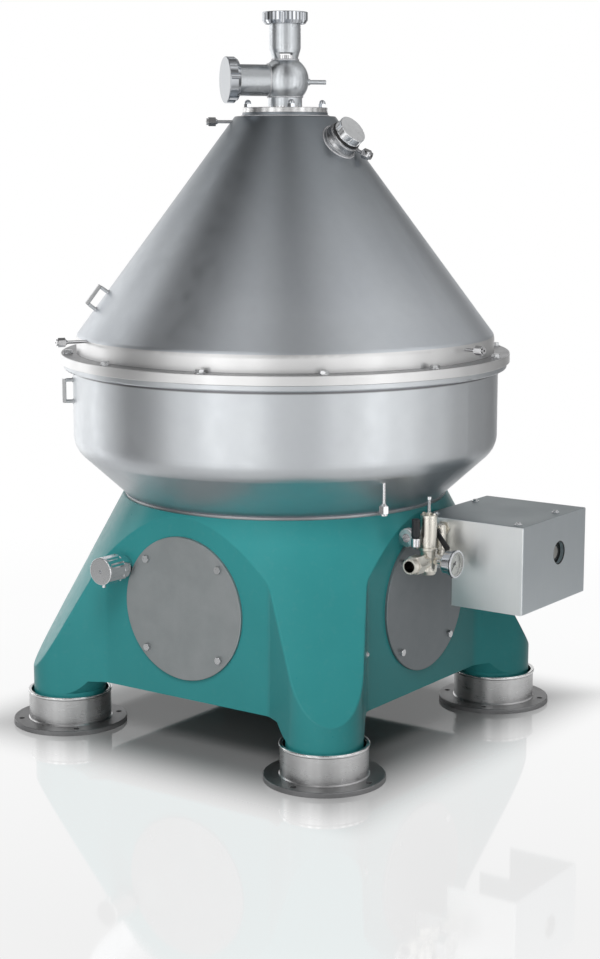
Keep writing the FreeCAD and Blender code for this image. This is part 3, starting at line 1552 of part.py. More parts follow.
def regulator_body():
    """Body of the pressure regulator with a domed bottom and three ports."""
    tall = regulator_high - regulator_low
    body = turned([
        (0, 0), (regulator_radius - 7, 0, 5), (regulator_radius - 2, 12, 8), (regulator_radius - 2, tall - 10),
        (regulator_radius + 1, tall - 8, 1), (regulator_radius + 1, tall, 1), (0, tall)])
    body = body.translated(at_regulator(regulator_low))
    inlet_boss = cylinder(19, 0, regulator_radius + 4)
    outlet_boss = cylinder(18, 0, regulator_radius + 4)
    gauge_boss = hexagon(18, 0, regulator_radius + 5)
    body = body.fuse(placed(inlet_boss, at_regulator(line_height), heading(0.0)))
    body = body.fuse(placed(outlet_boss, at_regulator(line_height), heading(180.0)))
    body = body.fuse(placed(gauge_boss, at_regulator(gauge_height), heading(90.0)))
    return body.removeSplitter()


def regulator_bonnet():
    """Spring bonnet with its cap plate and two screws."""
    cap_top = bonnet_high + bonnet_cap_height
    bore = adjusting_radius + thread_clearance
    body = turned([
        (bore, regulator_high), (bonnet_radius, regulator_high), (bonnet_radius, bonnet_high, 1),
        (bonnet_radius + 1.5, bonnet_high), (bonnet_radius + 1.5, cap_top, 1), (bore, cap_top)])
    pieces = [body]
    for side in (-1, 1):
        pieces.append(hexagon(8, cap_top, cap_top + 5).translated(Vector(side * (bonnet_radius - 6), 0, 0)))
    lock_nut = hexagon(14, cap_top, cap_top + 6).cut(cylinder(bore, cap_top - 1, cap_top + 7))
    pieces.append(lock_nut)
    whole = joined(pieces)
    return whole.translated(Vector(regulator_x, regulator_y, 0))


def adjusting_screw():
    """Adjusting screw that stands out of the bonnet."""
    screw = turned([
        (0, regulator_high + 20), (adjusting_radius, regulator_high + 20), (adjusting_radius, adjusting_top - 9),
        (adjusting_head_radius, adjusting_top - 9, 1), (adjusting_head_radius, adjusting_top, 1.5), (0, adjusting_top)])
    return screw.translated(Vector(regulator_x, regulator_y, 0))


def inlet_union():
    """Open union nipple on the regulator's inlet."""
    start = regulator_radius + 4
    end = regulator_y - inlet_end_y
    nipple = turned([
        (inlet_bore_radius, start), (inlet_radius - 2, start), (inlet_radius - 2, start + 20),
        (inlet_radius, start + 20), (inlet_radius, end, 1.5), (inlet_bore_radius, end)])
    hexed = hexagon(inlet_hex, start + 16, start + 50).cut(cylinder(inlet_bore_radius, start, start + 60))
    return placed(joined([nipple, hexed]), at_regulator(line_height), heading(0.0))


def gauge_case():
    """Pressure gauge case with its stem and bezel."""
    start = gauge_near_x - regulator_x
    end = gauge_far_x - regulator_x
    stem_start = regulator_radius + 5
    case = turned([
        (0, stem_start), (8, stem_start), (8, start - 4), (15, start, 2), (gauge_radius - 3, start + 3, 8),
        (gauge_radius - 3, end - 10), (gauge_radius, end - 10, 1), (gauge_radius, end, 2), (gauge_glass_radius, end),
        (gauge_glass_radius, end - 12), (0, end - 12)])
    return placed(case, at_regulator(gauge_height), heading(90.0))


def gauge_glass():
    end = gauge_far_x - regulator_x
    glass = cylinder(gauge_glass_radius - 0.1, end - 4, end - 2)
    return placed(glass, at_regulator(gauge_height), heading(90.0))


def gauge_needle():
    """Needle of the gauge, pointing down and left at rest."""
    floor = gauge_far_x - 12.0
    hub = placed(cylinder(3.2, 0, 5), Vector(floor + 0.4, 0, 0), Vector(1, 0, 0))
    blade = Part.Face(outline([
        (0, -2.0), (needle_length, -0.6), (needle_length, 0.6), (0, 2.0), (-9, 1.6), (-9, -1.6)], False))
    blade = blade.extrude(Vector(0, 0, 1.2))
    blade.Placement = FreeCAD.Placement(
        Vector(floor + 2.5, 0, 0), FreeCAD.Rotation(Vector(0, 1, 0), 90) * FreeCAD.Rotation(Vector(0, 0, 1), -45))
    whole = joined([hub, blade])
    return whole.translated(Vector(0, regulator_y, gauge_height))


def ball_valve():
    """Outlet pipe with an upright ball valve, its lever stem and an elbow into the control box."""
    outlet_start = regulator_y + regulator_radius + 4
    outlet = cylinder(13, 0, riser_y - outlet_start)
    outlet = placed(outlet, Vector(regulator_x, outlet_start, line_height), Vector(0, 1, 0))
    riser = turned([
        (0, line_height - 17), (13, line_height - 17, 4), (13, line_height + 22), (riser_radius, line_height + 24, 1),
        (riser_radius, riser_high - 6, 1), (14, riser_high + 10, 8), (0, riser_high + 12)])
    riser = riser.translated(Vector(regulator_x, riser_y, 0))
    elbow = placed(
        cylinder(12, 0, box_low_y - riser_y), Vector(regulator_x, riser_y, riser_high - 4), Vector(0, 1, 0))
    flange = placed(hexagon(34, 0, 6), Vector(regulator_x, box_low_y - 6, riser_high - 4), Vector(0, 1, 0))
    stem_boss = cylinder(9, 0, riser_radius + 2).fuse(cylinder(lever_stem_radius, 0, riser_radius + 12))
    stem_boss = placed(stem_boss, Vector(lever_x, riser_y, lever_height), Vector(0, -1, 0))
    return joined([riser, outlet, elbow, flange, stem_boss])


def valve_lever():
    """Flat lever of the ball valve with a rounded grip, on its stem."""
    bore = lever_stem_radius + hinge_clearance
    start = riser_y - riser_radius - 2.0 - knob_gap
    hub = placed(cylinder(8, 0, 9), Vector(0, start, 0), Vector(0, -1, 0))
    grip = Part.Face(outline([
        (-9, -6, 4), (lever_reach, -8, 7.5), (lever_reach, 8, 7.5), (-9, 6, 4)], True))
    grip = grip.extrude(Vector(0, 4, 0)).translated(Vector(0, start - 9, 0))
    whole = joined([hub, grip]).cut(placed(cylinder(bore, -1, 20), Vector(0, start, 0), Vector(0, -1, 0)))
    whole.rotate(Vector(0, 0, 0), Vector(0, 1, 0), -lever_slope)
    return whole.translated(Vector(lever_x, 0, lever_height))


def stop_valve():
    """Small stop valve beside the regulator: line from the box, water coupling and upright chest."""
    end = box_low_y - coupling_end_y
    start = end - coupling_length
    line = turned([
        (coupling_bore_radius, end - coupling_bore_depth), (coupling_bore_radius, end), (coupling_radius, end, 2),
        (coupling_radius, start + 12), (coupling_radius - 4, start + 10), (coupling_radius - 4, start, 2),
        (line_radius, start), (line_radius, line_nut_length), (line_nut_radius, line_nut_length),
        (line_nut_radius, 0), (0, 0), (0, end - coupling_bore_depth)])
    line = placed(line, Vector(stop_line_x, box_low_y, stop_line_height), Vector(0, -1, 0))
    seat = knob_low - knob_gap
    chest = turned([
        (0, chest_low), (knob_radius - 4, chest_low, 2), (knob_radius, chest_low + 6, 2), (knob_radius, seat, 1),
        (valve_spindle_radius, seat), (valve_spindle_radius, knob_high - 10), (0, knob_high - 10)])
    chest = chest.translated(Vector(knob_x, knob_y, 0))
    pipe_start = Vector(knob_x, knob_y, stop_line_height - chest_pipe_drop)
    pipe_end = Vector(
        stop_line_x + coupling_bore_radius + chest_pipe_radius, coupling_end_y + coupling_length / 2, pipe_start.z)
    run = pipe_end - pipe_start
    pipe = placed(cylinder(chest_pipe_radius, 0, run.Length), pipe_start, run)
    bend = Part.makeSphere(chest_pipe_radius, pipe_end)
    return joined([line, chest, pipe, bend])


def valve_knob():
    """Ribbed hand knob of the stop valve."""
    bore = valve_spindle_radius + hinge_clearance
    knob = turned([
        (bore, knob_low), (knob_radius - 2, knob_low, 1), (knob_radius, knob_low + 6, 2),
        (knob_radius - 1, knob_high, 4), (0, knob_high), (0, knob_high - 9), (bore, knob_high - 9)])
    for point in circle_points(knob_ribs, knob_radius + 2.2):
        knob = knob.cut(cylinder(3.2, knob_low + 8, knob_high + 1).translated(point))
    return knob.translated(Vector(knob_x, knob_y, 0))


parts = {"foot_base_" + name: foot_base(name) for name in foot_diagonals}
parts.update({
    "foot_buffers": foot_buffers(),
    "frame_housing": frame_housing(),
    "side_covers": side_covers(),
    "side_cover_bolts": side_cover_bolts(),
    "bowl_casing": bowl_casing(),
    "hood": hood(),
    "hood_gasket": hood_gasket(),
    "hood_bolts": hood_bolts(),
    "top_plate": top_plate(),
    "top_cap_nuts": top_cap_nuts(),
    "feed_head": feed_head(),
    "top_seal": nut_seal().translated(top_end()),
    "top_blind_nut": placed(
        blind_nut().translated(Vector(0, 0, blind_nut_start())), top_end(), Vector(0, 0, 1)),
    "side_seal": placed(nut_seal(), side_end(), heading(branch_angle)),
    "side_blind_nut": placed(
        blind_nut().translated(Vector(0, 0, blind_nut_start())), side_end(), heading(branch_angle), 30.0),
    "feed_tube": feed_tube(),
    "centripetal_pump": centripetal_pump(),
    "guide_lugs": guide_lugs(),
    "port_neck": port_neck(),
    "port_seal": port_seal(),
    "port_cap": port_cap(),
    "tube_fittings": tube_fittings(),
    "sediment_outlet": sediment_outlet(),
    "motor_housing": motor_housing(),
    "stator": stator(),
    "bearing_housing": bearing_housing(),
    "bearing_outer_rings": bearing_outer_rings(),
    "bearing_inner_rings": bearing_inner_rings(),
    "bearing_cages": bearing_cages(),
    "spindle": spindle(),
    "motor_rotor": motor_rotor(),
    "bowl_bottom": bowl_bottom(),
    "sliding_piston": sliding_piston(),
    "bowl_top": bowl_top(),
    "bowl_lock_ring": bowl_lock_ring(),
    "chamber_cover": chamber_cover(),
    "distributor": distributor(),
    "disc_stack": disc_stack(),
    "filler_neck": filler_neck(),
    "filler_seal": filler_seal(),
    "filler_cap": filler_cap(),
    "control_box": control_box(),
    "box_bracket": box_bracket(),
    "box_screws": box_screws(),
    "box_socket": box_socket(),
    "regulator_body": regulator_body(),
    "regulator_bonnet": regulator_bonnet(),
    "adjusting_screw": adjusting_screw(),
    "inlet_union": inlet_union(),
    "gauge_case": gauge_case(),
    "gauge_glass": gauge_glass(),
    "gauge_needle": gauge_needle(),
    "ball_valve": ball_valve(),
    "valve_lever": valve_lever(),
    "stop_valve": stop_valve(),
    "valve_knob": valve_knob(),
})

os.makedirs("parts", exist_ok=True)
for name, shape in parts.items():
    shape.exportStep("parts/" + name + ".step")
    print(name, len(shape.Solids), round(shape.Volume / 1000.0, 1), shape.isValid())
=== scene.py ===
import math

import bpy
from mathutils import Matrix, Vector
from mathutils.bvhtree import BVHTree


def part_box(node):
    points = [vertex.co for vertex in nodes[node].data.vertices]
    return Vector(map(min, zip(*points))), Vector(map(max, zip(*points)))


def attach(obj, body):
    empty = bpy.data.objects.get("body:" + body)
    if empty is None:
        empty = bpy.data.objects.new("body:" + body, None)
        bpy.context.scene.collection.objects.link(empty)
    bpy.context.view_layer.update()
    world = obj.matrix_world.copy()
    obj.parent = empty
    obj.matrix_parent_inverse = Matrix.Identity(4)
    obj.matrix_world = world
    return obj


# Looks of a centrifugal separator on four feet, in metres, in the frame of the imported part.
# Angles are in degrees. Those around the machine's axis are counted from -Y towards +X, as in the part.

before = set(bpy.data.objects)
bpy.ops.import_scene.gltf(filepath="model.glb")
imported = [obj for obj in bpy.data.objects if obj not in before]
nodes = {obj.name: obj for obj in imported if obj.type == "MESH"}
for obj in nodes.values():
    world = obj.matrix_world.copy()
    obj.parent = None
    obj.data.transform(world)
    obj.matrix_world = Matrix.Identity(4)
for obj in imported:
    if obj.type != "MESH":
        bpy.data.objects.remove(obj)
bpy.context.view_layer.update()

MACHINE = "machine_frame"
UP = Vector((0, 0, 1))
WHITE = (1, 1, 1, 1)


def heading(angle, rise=0.0):
    """Unit vector for an angle counted from -Y towards +X, raised by rise degrees."""
    turn = math.radians(angle)
    lift = math.radians(rise)
    return Vector((math.sin(turn) * math.cos(lift), -math.cos(turn) * math.cos(lift), math.sin(lift)))


# Camera
CAMERA_PLACE = (3.1343, -4.3415, 1.6221)
CAMERA_TILT = 80.07
CAMERA_TURN = 35.384
CAMERA_LENS = 70.83
CAMERA_SENSOR = 36.0

# Square softboxes: degrees to the right of the camera, degrees up, distance, side and power
LAMP_TARGET = Vector((0, 0, 0.9))
LAMPS = {
    "key_lamp": (-10, 44, 5.0, 2.3, 106),
    "top_lamp": (-165, 64, 4.5, 2.4, 165),
}

# Floor: its reach, where it fades out, where the camera sees it white, and its finish. Its dark grey
# deepens the shadow under the machine as painted shade.
FLOOR_RADIUS = 2.9
FLOOR_STEPS = 96
FLOOR_FADE_START = 1.6
FLOOR_WHITE_START = 0.48
FLOOR_WHITE_END = 0.81
FLOOR_MIRRORED_WHITE = 0.6
FLOOR_CORNER = 0.1
FLOOR_TONE = 0.38
FLOOR_GLOSS = 0.2
FLOOR_GLOSS_ROUGHNESS = 0.05

# Room that gloss sees. Tones are (degrees to the right of the camera, grey), heights (degrees up, grey).
# Between HIGH_START and HIGH_END the high tones take over from the room's.
ROOM_TONES = [
    (-180, 1.0), (-168, 1.0), (-150, 1.35), (-112, 1.45), (-97, 0.15), (-78, 0.25), (-58, 0.9),
    (-35, 1.45), (-14, 1.2), (5, 0.6), (25, 0.9), (50, 1.4), (76, 0.85), (110, 0.4), (150, 0.2),
    (168, 1.0), (180, 1.0)]
ROOM_HEIGHTS = [(0, 1.0), (20, 0.85), (40, 0.7), (65, 0.5), (90, 0.4)]
HIGH_START = 14.0
HIGH_END = 26.0
HIGH_TONES = [
    (-180, 0.25), (-150, 0.5), (-124, 1.3), (-104, 0.06), (-80, 0.03), (-64, 0.65), (-40, 1.5),
    (-16, 1.1), (2, 0.15), (22, 0.5), (45, 1.1), (78, 1.45), (104, 0.8), (132, 0.6), (155, 0.35),
    (180, 0.3)]

# Upright bands of the room, which give polished parts their streaks and fade out behind the machine
BAND_COUNT = 17
BAND_DEPTH = 0.75
BAND_FADE_START = 135
BAND_FADE_END = 150

# Soft light that all other rays see
SOFT_TONES = [
    (-180, 0.2), (-110, 0.2), (-70, 0.35), (-35, 0.7), (-5, 1.75), (16, 0.95), (32, 0.06), (60, 0.0),
    (120, 0.0), (180, 0.2)]
SOFT_HEIGHTS = [(0, 1.0), (24, 1.0), (36, 0.25), (90, 0.15)]

# Places on the nodes where their finish changes, or where painted light and shade begin and end
FOOT_SIDES = ("front", "left", "back", "right")
PLATE_TOP = 0.0145
CUP_RIM = 0.0912
RING_BOTTOM = 0.6548
RING_TOP = 0.6612
FLANGE_BOTTOM = 1.0166
FLANGE_TOP = 1.0602
FLANGE_SHADE = 0.008
SKIRT_TOP = 1.108
HOOD_TONE_LOW = 1.2
HOOD_TONE_HIGH = 1.7
COVER_SHADE_START = 0.3
COVER_SHADE_END = 0.4
BOX_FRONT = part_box("control_box")[0].y + 0.0002
BOX_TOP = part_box("control_box")[1].z - 0.0003
GAUGE_BEZEL = 0.6388
GAUGE_SHADE = 0.0022
INLET_PLACE = (0.555, 0, 0.537)
INLET_BORE = 0.0158

# Range that most values of a noise lie in, softness of an edge between two finishes, and the black of the
# painted shade in bores and recesses
NOISE_LOW = 0.25
NOISE_HIGH = 0.75
EDGE_SOFTNESS = 0.0004
PAINTED_SHADE_BLACK = (0.012, 0.012, 0.012)

# Places and sizes of the machine that the details follow
GLOBE_CENTRE = Vector((0, 0, 1.81))
GLOBE_RADIUS = 0.066
NECK_RADIUS = 0.0475
SLEEVE_RADIUS = 0.0363
BRANCH_AXIS = heading(-37.7)
BRANCH_RADIUS = 0.043
COLLAR_RADIUS = 0.1195
COLLAR_HEIGHT = 0.01
CONE_RISE = 36.74
PORT_ANGLE = 86
PORT_REACH = 0.1932
PORT_HEIGHT = 1.641
PORT_AXIS = heading(PORT_ANGLE, CONE_RISE)
PORT_CENTRE = heading(PORT_ANGLE) * PORT_REACH + UP * PORT_HEIGHT
PORT_BASE_RADIUS = 0.0525
COUPLING_CENTRE = Vector((0.5015, 0, 0.597))
HOLE_Y = 0.169
HOLE_Z = 0.5393
SOCKET_OFFSET = Vector((0, -0.007, 0.001))
BOX_SCREWS = ((0.505, 0.002), (0.766, -0.008), (0.764, 0.205), (0.5, 0.225))
SCREW_HEAD = 0.006
LEG_BOLT_Y = -0.291
LEG_BOLT_Z = 0.304
LEG_OUTSIDE_X = 0.7

# Guide lugs: nodes and heights of their feet, and how far they stand off the hood and the casing
LUG_ANGLE = -45
LUG_BAR = 0.005
LUG_FEET = (("hood", 1.182), ("hood", 1.229), ("bowl_casing", 0.926), ("bowl_casing", 0.986))
HOOD_LUG_REACH = 0.035
CASING_LUG_REACH = 0.03

# Flat straps over the lugs. The outline is (across, out) in shares of half the strap's size
STRAP_WIDTH = 0.026
STRAP_SKIN = 0.0004
STRAP_OVERHANG = 0.0035
STRAP_BEVEL = 0.0012
STRAP_OUTLINE = ((-1, -0.7), (-0.9, -1), (0.9, -1), (1, -0.7), (1, 0.7), (0.9, 1), (-0.9, 1), (-1, 0.7))

# Weld beads: points around, points to a ripple, depths of the ripples, and radii
BEAD_SIDES = 8
BEAD_RIPPLE = 4
RIPPLE_DEPTH = 0.16
DRIFT_DEPTH = 0.07
DRIFT_STEP = 1.7
BEAD_PITCH = 0.0012
BEAD_LIFT = 0.0008
HEAD_BEAD = 0.0021
COLLAR_BEAD = 0.0026
COLLAR_BEAD_OFFSET = 0.0012
PORT_BEAD = 0.0024
PORT_BEAD_REACH = 0.06
LUG_BEAD = 0.0017
LUG_BEAD_OFFSET = 0.0006
LUG_BEAD_PITCH = 0.0008

# Dial of the gauge. Long and short ticks are (inner radius, half width)
GAUGE_DEPTH = 0.012
DIAL_FIRST = -135
DIAL_SWEEP = 270
DIAL_STEPS = 5
DIAL_UNIT = 2
TICKS_TO_STEP = 5
LONG_TICK = (0.0225, 0.0005)
SHORT_TICK = (0.025, 0.00025)
TICK_END = 0.028
TICK_HEIGHT = 0.00012
DIAL_FACE = 0.00031
NUMBER_RADIUS = 0.0178
NUMBER_SIZE = 0.0058
NUMBER_DEPTH = 0.00006
NUMBER_FACING = Matrix(((0, 0, 1, 0), (1, 0, 0, 0), (0, 1, 0, 0), (0, 0, 0, 1)))

# Threads and the knurled band. The inlet's thread is placed from the inlet's end, the adjusting screw's
# from the bonnet's top to under the screw's top.
INLET_THREAD = {"radius": 0.021, "depth": 0.0008, "pitch": 0.002, "core": 0.002}
INLET_THREAD_START = 0.0165
INLET_THREAD_END = 0.002
SCREW_THREAD = {"radius": 0.004, "depth": 0.00045, "pitch": 0.0013, "core": 0.001}
SCREW_THREAD_START = 0.001
SCREW_THREAD_END = 0.0095
COUPLING_RIDGE = 0.0009

# Profiles of small turned pieces: (radius, place along the axis)
PORT_RING = [(0.0442, 0.0335), (0.0452, 0.0312), (0.0452, 0.0282), (0.0425, 0.0282), (0.0425, 0.0335)]
DIAL_PLATE = [(0.0005, 0.00005), (0.0318, 0.00005), (0.0318, 0.0003), (0.0005, 0.0003)]
DIAL_RING = [(0.0322, 0.0042), (0.0322, 0.0078), (0.0296, 0.0078), (0.0288, 0.0042)]
COUPLING_BAND = [(0.0249, 0.1265), (0.0249, 0.1415), (0.024, 0.1415), (0.024, 0.1265)]
# The hole's rim and shroud and the screws' recess discs are black pieces painted as shade.
HOLE_SHADE_RIM = [(0.0326, -0.0023), (0.0326, -0.0002), (0.0306, -0.0002), (0.0299, -0.0008), (0.0299, -0.0023)]
HOLE_SHADE_SHROUD = [(0.0228, -0.0142), (0.0324, -0.0142), (0.0324, -0.0132), (0.0228, -0.0132)]
SOCKET_DISC = [(0.018, -0.0181), (0.018, -0.0105), (0.0165, -0.0095), (0.0035, -0.0095)]
SCREW_RECESS_SHADE = [(0.0034, -0.001), (0.0034, 0.0001)]
SCREW_WASHER = [(0.0105, 0.0001), (0.0105, 0.0012), (0.0098, 0.0016), (0.0043, 0.0016), (0.0043, 0.0001)]
LEG_BOLT = [(0.0075, -0.001), (0.0075, 0.0015), (0.0062, 0.0018), (0.0055, 0.0052), (0.0035, 0.0066)]
LEG_WASHER = [(0.0095, -0.001), (0.0095, 0.0008), (0.009, 0.0012), (0.005, 0.0012)]


# Node trees

class Nodes:
    """A node tree and short ways to build it."""

    def __init__(self, tree):
        self.tree = tree

    def feed(self, node, inputs):
        """Links or sets the inputs of a node, each by its name or number."""
        for key, value in dict(inputs).items():
            if isinstance(value, bpy.types.NodeSocket):
                self.tree.links.new(value, node.inputs[key])
            else:
                node.inputs[key].default_value = value

    def node(self, kind, inputs=(), **settings):
        """New node with its settings and inputs."""
        made = self.tree.nodes.new(kind)
        for name, value in settings.items():
            setattr(made, name, value)
        self.feed(made, inputs)
        return made

    def output(self, kind, inputs=(), **settings):
        """First output of a new node."""
        return self.node(kind, inputs, **settings).outputs[0]

    def maths(self, operation, *values, clamp=False):
        return self.output("ShaderNodeMath", enumerate(values), operation=operation, use_clamp=clamp)

    def ranged(self, value, low, high, new_low=0.0, new_high=1.0, kind="LINEAR"):
        """Value moved from one range to another and held within it."""
        return self.output("ShaderNodeMapRange", {
            "Value": value, "From Min": low, "From Max": high, "To Min": new_low, "To Max": new_high,
        }, interpolation_type=kind)

    def split(self, vector):
        """The three coordinates of a vector."""
        return tuple(self.node("ShaderNodeSeparateXYZ", {0: vector}).outputs)

    def joined(self, *values):
        """Vector made of coordinates."""
        return self.output("ShaderNodeCombineXYZ", enumerate(values))

    def length(self, vector):
        return self.node("ShaderNodeVectorMath", {0: vector}, operation="LENGTH").outputs["Value"]

    def blended(self, factor, first, second, blend="MIX"):
        """Colour blended from two colours."""
        return self.node("ShaderNodeMix", {"Factor": factor, "A": first, "B": second},
                         data_type="RGBA", blend_type=blend).outputs["Result"]

    def mixed(self, factor, first, second):
        """Mix of two shaders."""
        return self.output("ShaderNodeMixShader", enumerate((factor, first, second)))

    def toned(self, value, tones):
        """Smooth greys through (place, grey) tones, with places from 0 to 1."""
        made = self.node("ShaderNodeValToRGB", {"Fac": value})
        made.color_ramp.interpolation = "EASE"
        stops = made.color_ramp.elements
        stops.remove(stops[-1])
        stops[0].position = tones[0][0]
        for place, _ in tones[1:]:
            stops.new(place)
        for stop, (_, tone) in zip(stops, tones):
            stop.color = (tone, tone, tone, 1)
        return made.outputs["Color"]


class Surface(Nodes):
    """One procedural material: a principled shader and short ways to feed it."""

    def __init__(self, name, colour, metallic=0.0, roughness=0.5, **sockets):
        self.material = bpy.data.materials.new(name)
        self.material.use_nodes = True
        super().__init__(self.material.node_tree)
        self.shader = self.tree.nodes["Principled BSDF"]
        self.colour = (*colour, 1)
        self.roughness = None
        self.height = None
        self.place = self.node("ShaderNodeTexCoord").outputs["Object"]
        self.feed(self.shader, {"Base Color": self.colour, "Metallic": metallic, "Roughness": roughness})
        self.feed(self.shader, {socket.replace("_", " "): value for socket, value in sockets.items()})

    def turned(self, centre, axis):
        """Coordinates (way around, distance, height) about an axis through a point."""
        local = self.output("ShaderNodeMapping", {
            "Vector": self.place, "Location": centre,
            "Rotation": Vector(axis).to_track_quat("Z", "Y").to_euler(),
        }, vector_type="TEXTURE")
        across, other, along = self.split(local)
        distance = self.length(self.joined(across, other))
        return self.joined(self.maths("ARCTAN2", other, across), distance, along)

    def noise(self, scale, detail=2.0, place=None, stretch=None, roughness=0.5):
        """Noise, also with coordinates that are scaled by different amounts along each axis."""
        source = place or self.place
        if stretch:
            source = self.output("ShaderNodeMapping", {"Vector": source, "Scale": stretch})
        return self.node("ShaderNodeTexNoise", {
            "Vector": source, "Scale": scale, "Detail": detail, "Roughness": roughness}).outputs["Fac"]

    def coordinate(self, axis):
        return self.split(self.place)["XYZ".index(axis)]

    def above(self, value, low, soft=EDGE_SOFTNESS):
        """1 where the value is above a limit, with a soft edge."""
        return self.ranged(value, low - soft, low + soft)

    def below(self, value, high, soft=EDGE_SOFTNESS):
        """1 where the value is below a limit, with a soft edge."""
        return self.ranged(value, high + soft, high - soft)

    def inside(self, value, low, high, soft=EDGE_SOFTNESS):
        """1 where the value lies between two limits, with soft edges."""
        return self.maths("MULTIPLY", self.above(value, low, soft), self.below(value, high, soft))

    def tint(self, factor, colour, blend="MIX", strength=1.0):
        """Lays a colour over the surface where the factor is high."""
        if strength != 1.0:
            factor = self.maths("MULTIPLY", factor, strength)
        self.colour = self.blended(factor, self.colour, (*colour, 1), blend)

    def blacken(self, factor):
        """Blackens the surface where the factor is high, as painted shade."""
        self.tint(factor, PAINTED_SHADE_BLACK)

    def vary_roughness(self, value, low, high):
        """Adds a textured part to the roughness, in the given range."""
        part = self.ranged(value, NOISE_LOW, NOISE_HIGH, low, high)
        self.roughness = part if self.roughness is None else self.maths("ADD", self.roughness, part)

    def bump(self, value, depth):
        """Adds relief, with its depth in metres."""
        part = self.maths("MULTIPLY", value, depth)
        self.height = part if self.height is None else self.maths("ADD", self.height, part)

    def done(self):
        """The material, with the colour, roughness and relief joined to its shader."""
        inputs = {"Base Color": self.colour}
        if self.roughness is not None:
            inputs["Roughness"] = self.roughness
        if self.height is not None:
            inputs["Normal"] = self.output("ShaderNodeBump", {
                "Height": self.height, "Distance": 1.0, "Strength": 1.0})
        self.feed(self.shader, inputs)
        return self.material


# Finishes

def blasted_steel(name, colour, rough, mottle=0.24, grain=0.00002):
    """Bead-blasted stainless sheet: even satin with faint clouds and a fine grain."""
    look = Surface(name, colour, metallic=1.0)
    clouds = look.noise(5.0, detail=3.0)
    patches = look.noise(28.0, detail=4.0)
    fine = look.noise(1400.0)
    look.tint(look.ranged(clouds, 0.35, 0.65), (0.85, 0.86, 0.9), "MULTIPLY", mottle)
    look.tint(look.ranged(patches, 0.4, 0.7), (0.9, 0.9, 0.9), "MULTIPLY", 0.75 * mottle)
    look.vary_roughness(patches, rough - 0.03, rough + 0.03)
    look.vary_roughness(fine, -0.03, 0.03)
    look.bump(fine, grain)
    return look


def brushed_steel(name, colour, rough, centre, axis, ring_scale=900.0, depth=0.00001):
    """Turned or brushed steel with fine rings about an axis."""
    look = Surface(name, colour, metallic=1.0)
    around_axis = look.turned(centre, axis)
    rings = look.noise(1.0, detail=3.0, place=around_axis, stretch=(1.2, ring_scale, ring_scale))
    smudges = look.noise(35.0, detail=3.0)
    look.tint(rings, (0.8, 0.8, 0.82), "MULTIPLY", 0.35)
    look.tint(look.ranged(smudges, 0.45, 0.75), (0.86, 0.85, 0.84), "MULTIPLY", 0.35)
    look.vary_roughness(rings, rough - 0.05, rough + 0.05)
    look.vary_roughness(smudges, -0.03, 0.04)
    look.bump(rings, depth)
    return look


def polished_steel(name, colour=(0.78, 0.79, 0.8), rough=0.13):
    """Bright machined steel with faint scratches."""
    look = Surface(name, colour, metallic=1.0)
    scratches = look.noise(60.0, detail=3.0, stretch=(1.0, 1.0, 14.0))
    smudges = look.noise(40.0, detail=3.0)
    look.tint(look.ranged(smudges, 0.5, 0.8), (0.86, 0.86, 0.86), "MULTIPLY", 0.4)
    look.vary_roughness(smudges, rough - 0.03, rough + 0.05)
    look.vary_roughness(scratches, -0.02, 0.03)
    look.bump(scratches, 0.000012)
    return look


def cast_metal(name, colour, rough, metallic=1.0, depth=0.00006, scale=420.0):
    """Cast or sand-textured metal."""
    look = Surface(name, colour, metallic=metallic)
    skin = look.noise(scale, detail=3.0)
    clouds = look.noise(18.0, detail=3.0)
    look.tint(look.ranged(clouds, 0.35, 0.7), (0.75, 0.75, 0.75), "MULTIPLY", 0.4)
    look.tint(look.ranged(skin, 0.45, 0.8), (0.7, 0.7, 0.7), "MULTIPLY", 0.4)
    look.vary_roughness(clouds, rough - 0.06, rough + 0.05)
    look.vary_roughness(skin, -0.04, 0.04)
    look.bump(skin, depth)
    return look


def moulded(name, colour, rough, depth=0.00003):
    """Moulded plastic or rubber with a fine grain and rubbed spots."""
    look = Surface(name, colour, roughness=rough)
    grain = look.noise(700.0)
    rubbed = look.noise(45.0, detail=4.0)
    look.tint(look.ranged(rubbed, 0.5, 0.8), [c * 1.8 + 0.01 for c in colour], strength=0.35)
    look.vary_roughness(rubbed, rough - 0.08, rough + 0.08)
    look.bump(grain, depth)
    return look


def paint_look():
    """Sprayed enamel on the frame's casting, with orange peel and faint dust."""
    look = Surface("teal_paint", (0.045, 0.335, 0.345), roughness=0.32, Coat_Weight=0.06,
                   Coat_Roughness=0.1, Specular_IOR_Level=0.2)
    peel = look.noise(260.0)
    swell = look.noise(9.0)
    dust = look.noise(55.0, detail=5.0)
    look.tint(look.ranged(swell, 0.3, 0.7), (0.88, 0.92, 0.92), "MULTIPLY", 0.5)
    look.tint(look.ranged(dust, 0.55, 0.85), (0.2, 0.4, 0.4), strength=0.1)
    look.vary_roughness(dust, 0.27, 0.39)
    look.bump(peel, 0.00004)
    look.bump(swell, 0.0006)
    return look


def foot_look(name, centre):
    """Dark cast floor plate under a turned cup with a bright rim."""
    look = brushed_steel(name, (0.66, 0.66, 0.66), 0.3, centre, UP, 700.0, 0.000015)
    height = look.coordinate("Z")
    skin = look.noise(300.0, detail=3.0)
    plate = look.below(height, PLATE_TOP)
    rim = look.above(height, CUP_RIM)
    look.tint(plate, (0.3, 0.3, 0.305))
    look.tint(rim, (0.85, 0.85, 0.85))
    look.roughness = look.maths("ADD", look.roughness, look.maths("MULTIPLY", plate, 0.18))
    look.roughness = look.maths("SUBTRACT", look.roughness, look.maths("MULTIPLY", rim, 0.12))
    look.bump(look.maths("MULTIPLY", skin, plate), 0.0001)
    return look


